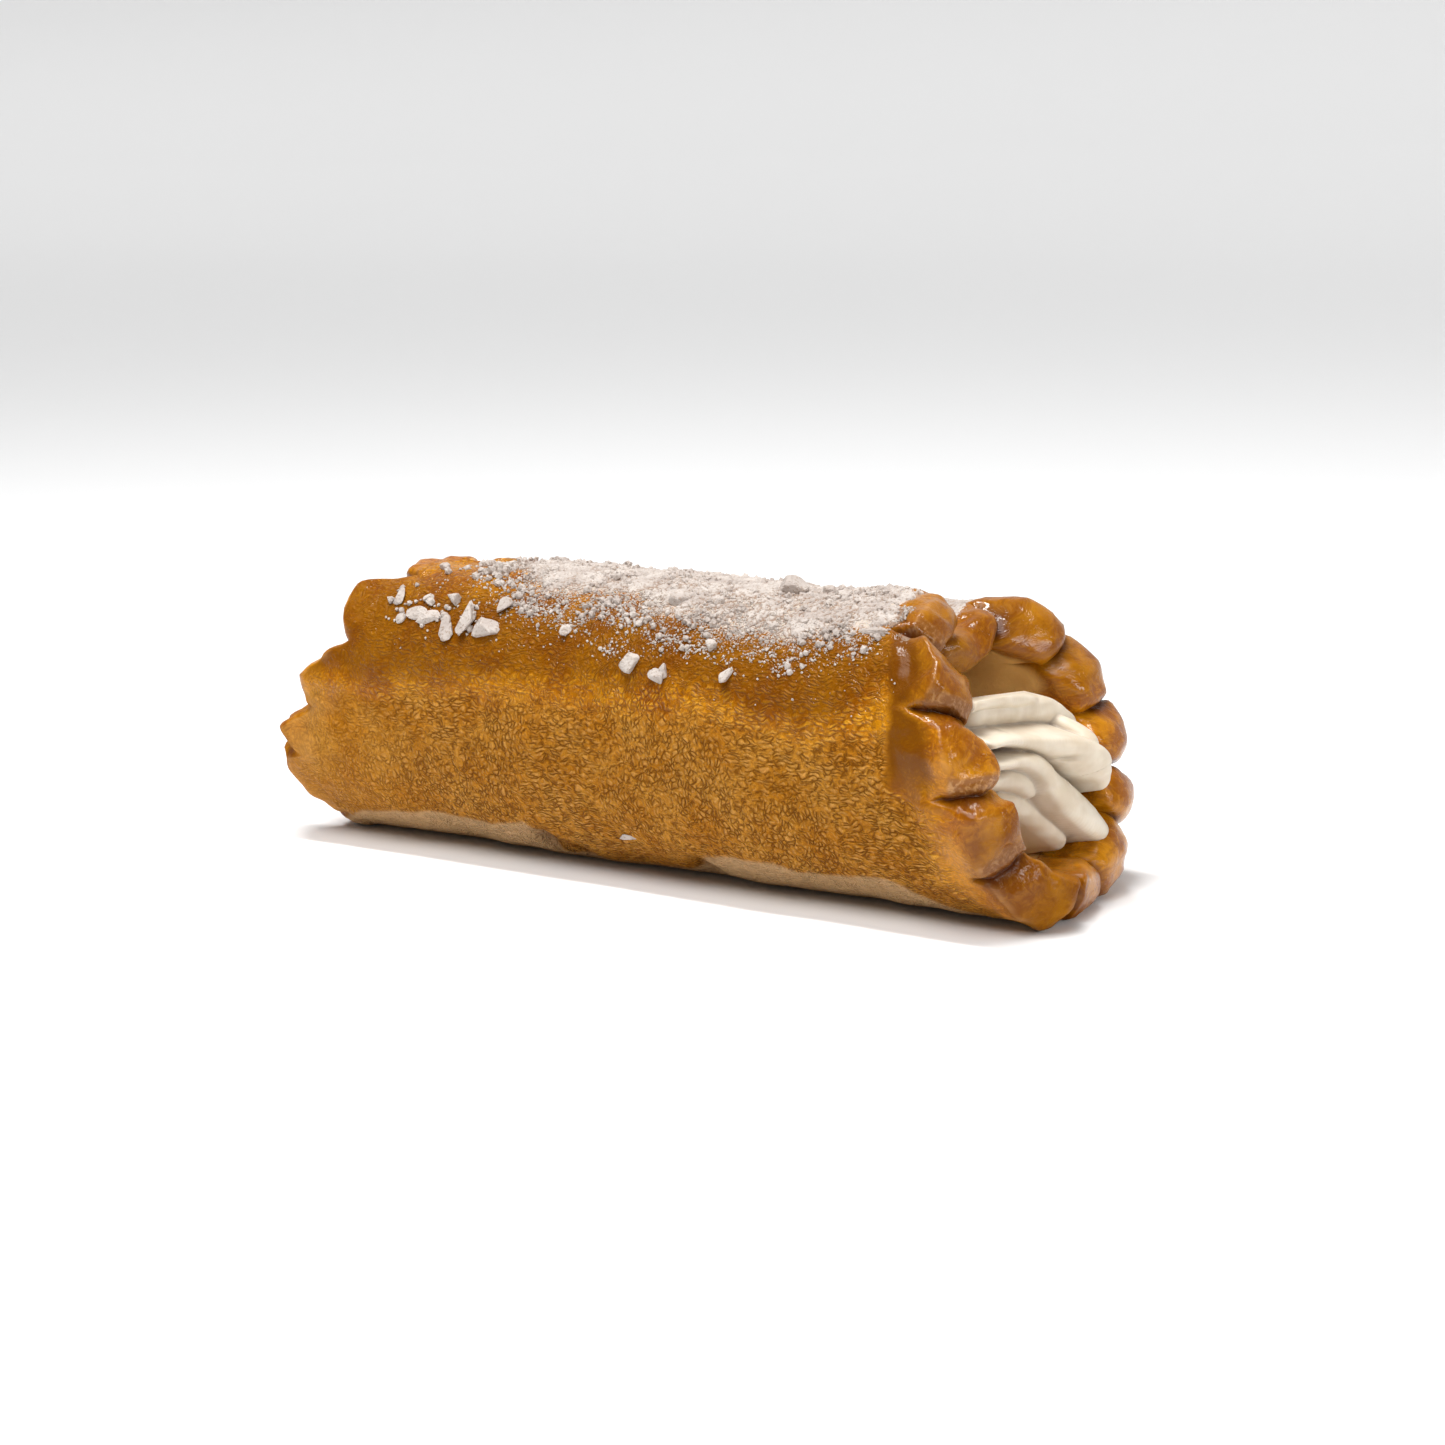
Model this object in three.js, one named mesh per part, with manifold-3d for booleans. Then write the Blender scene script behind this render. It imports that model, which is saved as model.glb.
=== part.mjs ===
// Cannoli: one scalloped sheet of pastry rolled into a flat-bottomed tube, its near flap lapped
// over its far flap along the top, filled from both ends with piped cream and topped with lumps
// of sugar. Millimetres, +Z up. X runs along the tube, the near side faces -Y, and the origin is
// on the table under the middle of the tube.
import * as THREE from 'three';
import { mergeVertices } from 'three/addons/utils/BufferGeometryUtils.js';
import Module from 'manifold-3d';

const wasm = await Module();
wasm.setup();

// ---- Driving dimensions (mm, degrees) ----

// Tube section: a boxy oval, round a centre line at half its height.
const TUBE_HEIGHT = 40;
const TUBE_WIDTH = 41.4;
const BASE_SAG = 0.5; // how far the oval would reach below the table, cut off as the flat base
const BOXINESS_BELOW = 2.3; // exponent of the oval, 2 for an ellipse
const BOXINESS_ABOVE = 2.6;
const WALL = 6.3;

// A turn angle goes round the tube: 0 at the bottom, up the near side to 180 at the top. Negative
// angles go up the far side. The sheet runs from its near seam down and round to its far seam.
const NEAR_SEAM_WALL = 4;
const NEAR_THINNING = [135, 158];
const NEAR_LIFT = 0.8; // how far the near flap rises over the slope of the far flap
const NEAR_LIFTING = [176, 195];
const FAR_SEAM_WALL = 5.4;
const TUCK = 4.5; // how far the far flap dips to lie under the near flap
const TUCKING = [-138, -176];

// Scalloped ends: each row is a notch as [turn angle, distance from the middle of the tube], then
// the lobe that follows it: [how far its tip stands out, its shape from 1, pointed, to 3, blocky]
// and, where its tip isn't in its middle, its lean, below 1 for a tip nearer the notch before it.
const RIGHT_RIM = [
  [187, 38.6, 3.4, 2.0], [145, 41.6, 5.6, 2.6], [116, 48.2, 4.8, 2.8], [85, 53.6, 4.2, 2.8],
  [54, 57.2, 3.8, 2.6], [11, 59.4, 3.9, 2.8], [-21, 59.4, 3.4, 2.4], [-55, 56.8, 3.2, 2.0],
  [-78, 55.2, 3.1, 2.2], [-103, 52.9, 3.2, 2.4], [-129, 48.4, 3.6, 2.6], [-152, 43.0, 3.2, 2.6],
  [-197, 40.0, 0, 2],
];
const LEFT_RIM = [
  [187, 40.0, 4.6, 2.0, 0.75], [150, 43.2, 3.1, 3.0], [118, 47.8, 5.0, 1.3], [91, 55.0, 4.0, 1.2],
  [67, 58.9, 2.5, 1.7], [36, 59.2, 2.6, 2.4], [4, 58.6, 2.8, 2.6], [-28, 58.4, 3.2, 2.4],
  [-58, 57.6, 3.2, 2.0], [-86, 54.8, 3.2, 2.4], [-114, 50.2, 3.4, 2.6], [-144, 44.5, 3.0, 2.4],
  [-197, 40.0, 0, 2],
];
const RIM_BULGE = 1.3; // how far the end face of a lobe swells past its edges
const RIM_SLANT = 2.5; // how far the inner edge of the near lobes stands past the outer edge
const FAR_RIM_SLANT = 0.8;
const NEAR_SLANTING = [-20, 40];
const TOP_SLANTING = [185, 125];
const RIM_LINES = [0.1, 0.4, 0.86]; // places of the end face's lines, as shares of the wall
const PINCH = 1.5; // depth of the crease that a notch presses into the outside
const PINCH_LENGTH = 4.2;

// Lapped seam: how far past the top the near flap reaches, and the notches along its edge.
const SEAM_AT_ENDS = 0.8;
const SEAM_CROWN = 4.6;
const SEAM_HALF_LENGTH = 42;
const SEAM_NOTCHES = [-44, -38, -20, -8, 4, 15, 26, 36, 44];
const SEAM_LOBE = 2.4;
const SEAM_BULGE = 1.8; // how far the rounded edge of each flap swells past its last column
const SEAM_ROUNDING = [[0.75, 0.82], [1, 0.4]]; // [share of the bulge, share of the thickness]
const SEAM_SWELL = 0.5; // the near flap is thicker by this much over its left lobe
const SEAM_SWELL_MIDDLE = -27;
const SEAM_SWELL_LENGTH = 11;

// Fineness of the faceted surface.
const STEPS_PER_LOBE = 6;
const STEPS_NEAR_END = [0, 1.8, 4.2, 8, 14]; // mm from the scalloped edge
const STEPS_BETWEEN = 5;
const JOIN_TOLERANCE = 0.03; // edges shorter than this are merged where solids are joined

// Cream: it fills the tube up to a level top, and piped folds stand out of it at both mouths.
const CREAM_GAP = 0.35; // clear space between the cream and the crust
const CREAM_TOP = 24.5;
const CREAM_LEVEL_END = 33; // from here to the mouths the top rises to the folds
const MOUTH_TOP = 27.2;
const MOUTH_TILT = 0.1; // how much lower the mouth's top gets for each mm towards the far side
const CREAM_MIDDLE = 16.5;
const CREAM_CELLS = 25; // squares of the mouth's grid, each way
const FOLD_SAMPLES = 40;
const FOLD_SLOPE = 1.8; // mm that a fold falls back for each mm to the side, past its crest
const FOLD_BLENDING = 0.35; // mm over which two folds run into each other

// The cream behind the folds: how far along the tube it reaches at its middle, and how much
// less towards the near side and towards its edge.
const BODY_REACH = 53;
const BODY_SLANT = 0.45;
const BODY_ROUNDING = 9;

// The folds at the right mouth, each a rope along a curve through [x, y, z, radius].
const FOLDS = {
  topRoll: [[48.5, -8, 25.6, 1.8], [51, -0.8, 25.6, 2.7], [53, 5.1, 24.7, 2.9],
    [55, 9.3, 22.8, 2.4], [56.5, 11, 20, 1.5]],
  ridge: [[53, -8.5, 22.4, 0.9], [56, -3, 21.7, 1.4], [59, 1.5, 20.9, 2],
    [60.5, 6.8, 19.2, 2.5], [60.2, 9.4, 16.6, 2.6], [58, 10, 13.8, 2]],
  longFold: [[53.5, -7, 20.3, 1.3], [57, -2.6, 19, 1.9], [58.3, -0.5, 16.6, 2.4],
    [59, 3, 13.9, 2.9], [59.5, 8, 11, 2.5], [59.6, 11.2, 8.6, 1.3]],
  bump: [[54, -8, 18, 1.6], [56.6, -5.2, 17.2, 2.2], [57.2, -2.4, 15.6, 1.6]],
  lowFold: [[53, -7, 15.6, 1.8], [56, -3, 12.6, 2.6], [57, 2, 10.2, 2.8], [57.2, 5.4, 9, 1.9]],
};
const LEFT_MOUTH_INSET = 1.5; // the left mouth's folds sit this much further in

// Sugar: lumps that lie on the near flap, each [x, turn angle, size], and a scatter of smaller
// ones between them.
const LUMPS = [
  [-26.4, 129, 3.3], [-22.4, 128, 3.4], [-33.5, 129, 2.6], [-29, 126, 1.8], [-40.6, 139, 1.9],
  [-30.7, 140, 1.8], [-21.4, 139, 1.6], [3.7, 123, 2.2], [8.2, 117, 1.9], [5.5, 152, 2.1],
  [15.5, 131, 1.7], [19.6, 121, 1.8], [17.3, 176, 3.9], [22.3, 176, 1.9], [25.6, 174, 1.9],
  [29, 166, 2], [38.2, 143, 1.7], [-37.5, 158, 1.5],
];
const SCATTERED_LUMPS = 26;
const SCATTER_FROM = { x: -32, turn: 134 };
const SCATTER_TO = { x: 38, turn: 184 };
const SCATTER_SIZE = { least: 1.2, most: 2 };
const LUMP_SINK = 0.12; // how deep a lump's middle lies in the crust, as a share of its size
const LUMP_ROUGHNESS = 0.3;
const SUGAR_SEED = 11;

// ---- Shared helpers ----

const radians = THREE.MathUtils.degToRad;
const lerp = THREE.MathUtils.lerp;

// Goes smoothly from 0 at `from` to 1 at `to`, in either direction.
function ease(value, from, to) {
  const t = THREE.MathUtils.clamp((value - from) / (to - from), 0, 1);
  return t * t * (3 - 2 * t);
}

// Height of a lobe from 0 at both notches (t = 0 and 1) to 1 at its middle. A shape of 1 is a
// pointed lobe, 2 a round one, and 3 a blocky one.
function lobeProfile(t, shape) {
  return (1 - Math.abs(2 * t - 1) ** shape) ** (1 / shape);
}

// A closed mesh as a manifold-3d solid.
function solidOf(geometry) {
  const bare = new THREE.BufferGeometry();
  bare.setAttribute('position', geometry.getAttribute('position'));
  bare.setIndex(geometry.getIndex());
  const merged = mergeVertices(bare, 1e-4);
  return new wasm.Manifold(new wasm.Mesh({
    numProp: 3,
    vertProperties: new Float32Array(merged.getAttribute('position').array),
    triVerts: new Uint32Array(merged.getIndex().array),
    tolerance: JOIN_TOLERANCE,
  }));
}

// A manifold-3d solid as a geometry.
function geometryOf(solid) {
  const mesh = solid.getMesh();
  const geometry = new THREE.BufferGeometry();
  geometry.setAttribute('position', new THREE.BufferAttribute(mesh.vertProperties, 3));
  geometry.setIndex(new THREE.BufferAttribute(mesh.triVerts, 1));
  geometry.computeVertexNormals();
  return geometry;
}

// Joins closed rings of equal length into a skin. `closeRing` lists the triangles, as places in
// the ring, that close its two ends.
function loft(rings, closeRing) {
  const size = rings[0].length;
  const index = [];
  for (let r = 0; r + 1 < rings.length; r++) {
    for (let p = 0; p < size; p++) {
      const a = r * size + p;
      const b = r * size + (p + 1) % size;
      index.push(a, b + size, b, a, a + size, b + size);
    }
  }
  const last = (rings.length - 1) * size;
  for (const [a, b, c] of closeRing) {
    index.push(a, b, c, last + a, last + c, last + b);
  }
  const geometry = new THREE.BufferGeometry().setFromPoints(rings.flat());
  geometry.setIndex(index);
  return geometry;
}

// Random numbers from 0 to 1, the same ones on every run.
function randomFrom(seed) {
  let state = seed;
  return () => {
    state = (state * 1664525 + 1013904223) % 4294967296;
    return state / 4294967296;
  };
}

// ---- Section of the tube ----

// Distance from the centre line to the outside of the plain oval at a turn angle.
function ovalRadius(turn) {
  const across = Math.abs(Math.sin(radians(turn))) / (TUBE_WIDTH / 2);
  const down = Math.cos(radians(turn));
  const below = down > 0;
  const upright = Math.abs(down) / (TUBE_HEIGHT / 2 + (below ? BASE_SAG : 0));
  const power = below ? BOXINESS_BELOW : BOXINESS_ABOVE;
  return (across ** power + upright ** power) ** (-1 / power);
}

// Point at a distance from the centre line, never below the table.
function sectionPoint(x, turn, radius) {
  const y = -radius * Math.sin(radians(turn));
  const z = TUBE_HEIGHT / 2 - radius * Math.cos(radians(turn));
  return new THREE.Vector3(x, y, Math.max(z, 0));
}

// ---- Crust ----

// How far past the top the edge of the near flap reaches at a place along the tube.
function seamReach(x) {
  const place = THREE.MathUtils.clamp(x, SEAM_NOTCHES[0], SEAM_NOTCHES.at(-1));
  const next = Math.max(1, SEAM_NOTCHES.findIndex((notch) => notch >= place));
  const [from, to] = [SEAM_NOTCHES[next - 1], SEAM_NOTCHES[next]];
  const crown = Math.max(0, 1 - (x / SEAM_HALF_LENGTH) ** 2);
  const lobe = lobeProfile((place - from) / (to - from), 2);
  return SEAM_AT_ENDS + SEAM_CROWN * crown + SEAM_LOBE * (lobe - 1);
}

// The columns run along the tube, from seam to seam, close together at the notches.
const columns = [];
for (let lobe = 0; lobe + 1 < RIGHT_RIM.length; lobe++) {
  const steps = lobe + 2 === RIGHT_RIM.length ? STEPS_PER_LOBE + 1 : STEPS_PER_LOBE;
  for (let step = 0; step < steps; step++) {
    columns.push({ lobe, t: (1 - Math.cos(Math.PI * step / STEPS_PER_LOBE)) / 2 });
  }
}

function rimAt(rim, { lobe, t }) {
  const [turn, reach, height, shape, lean = 1] = rim[lobe];
  const [nextTurn, nextReach] = rim[lobe + 1];
  const standing = height * lobeProfile(t ** lean, shape);
  return { turn: lerp(turn, nextTurn, t), reach: lerp(reach, nextReach, t) + standing };
}

// Wall thickness, thinner where the flaps lap.
function wallAt(turn) {
  const nearThinning = (WALL - NEAR_SEAM_WALL) * ease(turn, ...NEAR_THINNING);
  const farThinning = (WALL - FAR_SEAM_WALL) * ease(turn, ...TUCKING);
  return WALL - nearThinning - farThinning;
}

// Radii of the outside and the inside of the sheet, `fromEnd` mm in from the scalloped edge.
function sheetRadii(x, turn, t, fromEnd) {
  const layer = NEAR_LIFT * ease(turn, ...NEAR_LIFTING) - TUCK * ease(turn, ...TUCKING);
  const pinch = PINCH * (1 - lobeProfile(t, 2.5)) * Math.exp(-((fromEnd / PINCH_LENGTH) ** 2));
  const along = Math.exp(-(((x - SEAM_SWELL_MIDDLE) / SEAM_SWELL_LENGTH) ** 2));
  const swell = SEAM_SWELL * along * ease(turn, ...NEAR_THINNING);
  const middle = ovalRadius(turn) + layer;
  return { outer: middle - pinch + swell, inner: middle - wallAt(turn) };
}

// Places along one column, closest together at both ends.
function placesAlong(left, right) {
  const [from, to] = [-left + RIM_BULGE, right - RIM_BULGE];
  const inset = STEPS_NEAR_END.at(-1);
  const places = STEPS_NEAR_END.map((step) => from + step);
  for (let step = 1; step < STEPS_BETWEEN; step++) {
    places.push(lerp(from + inset, to - inset, step / STEPS_BETWEEN));
  }
  return [...places, ...STEPS_NEAR_END.map((step) => to - step).reverse()];
}

// The closed ring of the wall along one column: outside from left to right, the right rim,
// inside from right to left, and the left rim. `past` moves it past its column, round the tube,
// and `thin` is the share of the wall's thickness that it keeps.
function columnRing(column, past = 0, thin = 1) {
  const left = rimAt(LEFT_RIM, column);
  const right = rimAt(RIGHT_RIM, column);
  const atNearEdge = column.lobe === 0 ? 1 - column.t : 0;
  const outside = [];
  const inside = [];
  for (const x of placesAlong(left.reach, right.reach)) {
    const share = (x + left.reach) / (left.reach + right.reach);
    const seamTurn = 180 + THREE.MathUtils.radToDeg(Math.atan2(seamReach(x), TUBE_HEIGHT / 2));
    const plainTurn = lerp(left.turn, right.turn, share);
    const unmoved = plainTurn + (seamTurn - LEFT_RIM[0][0]) * atNearEdge ** 2;
    const fromEnd = Math.min(x + left.reach, right.reach - x) - RIM_BULGE;
    const { outer, inner } = sheetRadii(x, unmoved, column.t, fromEnd);
    const turn = unmoved + THREE.MathUtils.radToDeg(past / outer);
    const trim = (outer - inner) * (1 - thin) / 2;
    outside.push(sectionPoint(x, turn, outer - trim));
    inside.push(sectionPoint(x, turn, inner + trim));
  }
  const nearness = ease(right.turn, ...NEAR_SLANTING) * ease(right.turn, ...TOP_SLANTING);
  const slant = lerp(FAR_RIM_SLANT, RIM_SLANT, nearness);
  const rim = (end, side) => {
    inside.at(end).x += side * slant * thin;
    return RIM_LINES.map((depth) => {
      const point = outside.at(end).clone().lerp(inside.at(end), depth);
      point.x += side * RIM_BULGE * thin * lobeProfile(depth, 3);
      return point;
    });
  };
  const [leftRim, rightRim] = [rim(0, -1).reverse(), rim(-1, 1)];
  return [...outside, ...rightRim, ...inside.reverse(), ...leftRim];
}

// Triangles that close the wall's ring across its thickness: strips between its outside and its
// inside, and a fan at each rim.
function acrossWall() {
  const along = 2 * STEPS_NEAR_END.length + STEPS_BETWEEN - 1;
  const rim = RIM_LINES.length;
  const size = 2 * (along + rim);
  const triangles = [];
  for (let place = 0; place + 1 < along; place++) {
    const across = 2 * along + rim - 1 - place;
    triangles.push([place, place + 1, across - 1], [place, across - 1, across]);
  }
  for (const [first, last] of [[along - 1, along + rim], [2 * along + rim - 1, size]]) {
    for (let place = first + 1; place < last; place++) {
      triangles.push([first, place, (place + 1) % size]);
    }
  }
  return triangles;
}

// Rings that round off a seam edge, from the column next to it to the edge.
function seamRings(column, side) {
  return SEAM_ROUNDING.map(([past, thin]) => columnRing(column, side * SEAM_BULGE * past, thin));
}

function makeCrust() {
  const nearEdge = seamRings(columns[0], 1).reverse();
  const farEdge = seamRings(columns.at(-1), -1);
  const rings = columns.map((column) => columnRing(column));
  return solidOf(loft([...nearEdge, ...rings, ...farEdge], acrossWall()));
}

// ---- Sugar ----

// A rough lump that sits on the outside of the near flap.
function makeLump(x, turn, size, random) {
  const radius = sheetRadii(x, turn, 0.5, Infinity).outer;
  const middle = sectionPoint(x, turn, radius - LUMP_SINK * size);
  const rock = new THREE.IcosahedronGeometry(size / 2, 0);
  rock.deleteAttribute('normal');
  rock.deleteAttribute('uv');
  const lump = mergeVertices(rock, 1e-3);
  const points = lump.getAttribute('position');
  const point = new THREE.Vector3();
  const spin = new THREE.Euler(3 * random(), 3 * random(), 3 * random());
  for (let i = 0; i < points.count; i++) {
    const growth = 1 + LUMP_ROUGHNESS * (2 * random() - 1);
    point.fromBufferAttribute(points, i).multiplyScalar(growth).applyEuler(spin).add(middle);
    points.setXYZ(i, point.x, point.y, point.z);
  }
  return solidOf(lump);
}

function addLumps(crust) {
  const random = randomFrom(SUGAR_SEED);
  let sugared = crust;
  for (const [x, turn, size] of LUMPS) {
    sugared = sugared.add(makeLump(x, turn, size, random));
  }
  for (let n = 0; n < SCATTERED_LUMPS; n++) {
    const x = lerp(SCATTER_FROM.x, SCATTER_TO.x, (n + random()) / SCATTERED_LUMPS);
    const turn = lerp(SCATTER_FROM.turn, SCATTER_TO.turn, random());
    const size = lerp(SCATTER_SIZE.least, SCATTER_SIZE.most, random());
    sugared = sugared.add(makeLump(x, turn, size, random));
  }
  return sugared;
}

// ---- Cream ----

// Each fold as a row of balls along its curve.
const foldBalls = Object.values(FOLDS).map((rows) => {
  const curve = new THREE.CatmullRomCurve3(rows.map(([x, y, z]) => new THREE.Vector3(x, y, z)));
  return Array.from({ length: FOLD_SAMPLES + 1 }, (_, sample) => {
    const place = sample / FOLD_SAMPLES * (rows.length - 1);
    const row = Math.min(Math.floor(place), rows.length - 2);
    const radius = lerp(rows[row][3], rows[row + 1][3], place - row);
    return { middle: curve.getPoint(sample / FOLD_SAMPLES), radius };
  });
});

// How far the cream stands out of the right mouth at a place in the section. Each fold falls
// away from its crest as a hyperbola, and the folds run into each other with soft valleys.
function creamReach(y, z, fromMiddle) {
  const body = BODY_REACH + BODY_SLANT * y - BODY_ROUNDING * fromMiddle ** 2;
  const reaches = foldBalls.map((balls) => Math.max(...balls.map(({ middle, radius }) => {
    const away = Math.hypot(y - middle.y, z - middle.z);
    return middle.x + radius - FOLD_SLOPE * (Math.hypot(away, radius) - radius);
  })));
  const furthest = Math.max(body, ...reaches);
  const near = [body, ...reaches].map((reach) => Math.exp((reach - furthest) / FOLD_BLENDING));
  return furthest + FOLD_BLENDING * Math.log(near.reduce((sum, part) => sum + part));
}

// Place in the cream's section of a place in a square from -1 to 1 each way: the square is
// rounded to a disc, and the disc is stretched to the inside of the crust and cut at the top.
function creamPlace(across, up, top, tilt) {
  const sideways = across * Math.sqrt(1 - up ** 2 / 2);
  const upright = up * Math.sqrt(1 - across ** 2 / 2);
  const turn = THREE.MathUtils.radToDeg(Math.atan2(-sideways, -upright));
  const fromMiddle = Math.min(1, Math.hypot(sideways, upright));
  const edge = sectionPoint(0, turn, ovalRadius(turn) - WALL - CREAM_GAP);
  const y = edge.y * fromMiddle;
  const z = lerp(CREAM_MIDDLE, Math.min(edge.z, top - tilt * edge.y), fromMiddle);
  return { y, z, fromMiddle };
}

// Triangles of a square grid of points, each square split along its flatter diagonal.
function gridFaces(points, lines) {
  const faces = [];
  const step = (from, to) => Math.abs(points[from].x - points[to].x);
  for (let corner = 0; corner + lines < lines ** 2; corner++) {
    const [a, b, c, d] = [corner, corner + 1, corner + lines + 1, corner + lines];
    if (b % lines > 0) {
      faces.push(...(step(a, c) < step(b, d) ? [[a, b, c], [a, c, d]] : [[a, b, d], [b, c, d]]));
    }
  }
  return faces;
}

// The mouths are square grids, front and back, and two outlines between them carry the sides.
// The left mouth is the right one turned half a turn about the vertical.
function makeCream() {
  const lines = CREAM_CELLS + 1;
  const cells = Array.from({ length: lines ** 2 }, (_, corner) => ({
    across: 2 * (corner % lines) / CREAM_CELLS - 1,
    up: 2 * Math.floor(corner / lines) / CREAM_CELLS - 1,
  }));
  const mouth = (side, inset) => cells.map(({ across, up }) => {
    const { y, z, fromMiddle } = creamPlace(across, up, MOUTH_TOP, side * MOUTH_TILT);
    return new THREE.Vector3(side * (creamReach(side * y, z, fromMiddle) - inset), y, z);
  });
  const [left, right] = [mouth(-1, LEFT_MOUTH_INSET), mouth(1, 0)];
  const points = [...left, ...right];
  const index = [
    ...gridFaces(left, lines).flatMap(([a, b, c]) => [a, c, b]),
    ...gridFaces(right, lines).flat().map((corner) => corner + left.length),
  ];

  const outline = Array.from({ length: 4 * CREAM_CELLS }, (_, corner) => {
    const step = corner % CREAM_CELLS;
    const [column, row] = [
      [step, 0], [CREAM_CELLS, step], [CREAM_CELLS - step, CREAM_CELLS], [0, CREAM_CELLS - step],
    ][Math.floor(corner / CREAM_CELLS)];
    return row * lines + column;
  });
  const levels = [-CREAM_LEVEL_END, CREAM_LEVEL_END].map((x) => outline.map((corner) => {
    const { y, z } = creamPlace(cells[corner].across, cells[corner].up, CREAM_TOP, 0);
    return points.push(new THREE.Vector3(x, y, z)) - 1;
  }));
  const rings = [outline, ...levels, outline.map((corner) => corner + left.length)];
  for (let ring = 0; ring + 1 < rings.length; ring++) {
    for (let corner = 0; corner < outline.length; corner++) {
      const next = (corner + 1) % outline.length;
      const [a, b] = [rings[ring][corner], rings[ring][next]];
      const [c, d] = [rings[ring + 1][next], rings[ring + 1][corner]];
      index.push(a, b, c, a, c, d);
    }
  }
  const geometry = new THREE.BufferGeometry().setFromPoints(points);
  geometry.setIndex(index);
  return solidOf(geometry);
}

// ---- Parts ----

const cannoli = new THREE.Group();

function addPart(name, solid, color, roughness) {
  const material = new THREE.MeshStandardMaterial({ color, roughness, metalness: 0 });
  const mesh = new THREE.Mesh(geometryOf(solid), material);
  mesh.name = name;
  cannoli.add(mesh);
}

addPart('pastry_crust', addLumps(makeCrust()), 0xb8742a, 0.35);
addPart('cream_filling', makeCream(), 0xddd3c0, 0.5);

export default cannoli;
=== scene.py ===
"""Cannoli: one thick scalloped sheet of pastry, rolled so that its near flap laps over its far flap,
baked and glazed, filled from both ends with piped cream and dusted with powdered sugar.

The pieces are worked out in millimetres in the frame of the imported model: X along the tube, -Y the
near side, +Z up, the origin on the table under the middle of the tube.
"""

import bpy
import numpy as np
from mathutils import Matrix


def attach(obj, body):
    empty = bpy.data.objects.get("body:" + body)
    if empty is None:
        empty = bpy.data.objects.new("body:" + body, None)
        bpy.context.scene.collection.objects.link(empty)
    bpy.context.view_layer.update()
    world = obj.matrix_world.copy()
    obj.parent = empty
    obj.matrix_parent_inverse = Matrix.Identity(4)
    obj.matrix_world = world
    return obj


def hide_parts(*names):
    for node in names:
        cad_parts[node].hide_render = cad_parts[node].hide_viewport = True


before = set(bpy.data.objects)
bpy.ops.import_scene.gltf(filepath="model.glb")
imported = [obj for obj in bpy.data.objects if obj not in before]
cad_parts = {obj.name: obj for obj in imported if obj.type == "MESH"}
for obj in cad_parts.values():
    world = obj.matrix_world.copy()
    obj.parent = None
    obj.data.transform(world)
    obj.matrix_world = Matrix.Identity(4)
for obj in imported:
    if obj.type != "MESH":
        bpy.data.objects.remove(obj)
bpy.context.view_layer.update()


# ---- Camera ----
# A long lens, a little above the table, that looks at the right end of the pastry and at its
# near side. The frame is square.
CAMERA_PLACE = (0.24561, -0.33059, 0.09935)
CAMERA_TURN = np.radians((79.02, 1.218, 35.79))
LENS_MM = 74.86

camera = bpy.data.objects.new("camera", bpy.data.cameras.new("camera"))
camera.data.lens = LENS_MM
camera.data.sensor_width = 36
camera.location = CAMERA_PLACE
camera.rotation_euler = CAMERA_TURN
camera.data.clip_start = 0.01
bpy.context.scene.collection.objects.link(camera)
bpy.context.scene.camera = camera


# ---- Pastry sheet ----
# One sheet of laminated dough about 6 mm thick, cut with scalloped ends, rolled round a tube and
# baked on its seamless side. The scallops open into plump lobes with deep creases between them.
# The whole sheet, outside, inside and ends, is one closed skin.
MM = 0.001

TUBE_HEIGHT, TUBE_WIDTH = 40.0, 41.4
BASE_SAG = 0.5  # how far the oval would reach below the table, where it lies flat
BOXINESS_BELOW, BOXINESS_ABOVE = 2.3, 2.6  # exponents of the oval, 2 for an ellipse
WALL = 6.3

# Turn angles are 0 at the bottom, 180 at the top by way of the near side, negative on the far side.
# A pair of them, or of places along the tube, is where something starts and where it is complete.
NEAR_SEAM_WALL, NEAR_THINNING = 4.0, (135, 158)
FAR_SEAM_WALL, TUCK, TUCKING = 5.4, 4.5, (-138, -176)
LAP_LIFT, LAPPING = -0.1, (170, 190)  # how far the near flap stands out where it laps
LEFT_LIFT, LEFT_END, LEFT_LIFTING = -0.45, (-20, -45), ((150, 176), (195, 176))
NEAR_START, NEAR_END = (-20, 40), (190, 160)  # where the near side's shapes take over
TUCKED_IN = (-140, -160)  # the far flap has no relief under the near one

# Turn angles of the notches in the scalloped ends, from the near seam down, under and up the far side.
RIGHT_TURNS = np.array([187, 145, 116, 85, 54, 11, -21, -55, -78, -103, -129, -152, -197.0])
LEFT_TURNS = np.array([187, 150, 118, 91, 67, 36, 4, -28, -58, -86, -114, -144, -197.0])
LOBES, NEAR_LOBES = 12, 6
# The far lobes are round. Rows are (distance of the notch from the middle of the tube, how far the
# lobe after it stands out, its shape from 1, pointed, to 3, blocky).
RIGHT_FAR_LOBES = np.array([
    (59.0, 3.2, 2.4), (56.8, 3.2, 2.0), (55.2, 3.1, 2.2), (52.9, 3.2, 2.4), (48.4, 3.6, 2.6),
    (43.0, 3.2, 2.6), (40.0, 0, 2),
])
LEFT_FAR_LOBES = np.array([
    (58.6, 2.8, 2.6), (58.4, 3.2, 2.4), (57.6, 3.2, 2.0), (54.8, 3.2, 2.4), (50.2, 3.4, 2.6),
    (44.5, 3.0, 2.4), (40.0, 0, 2),
])
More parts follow.
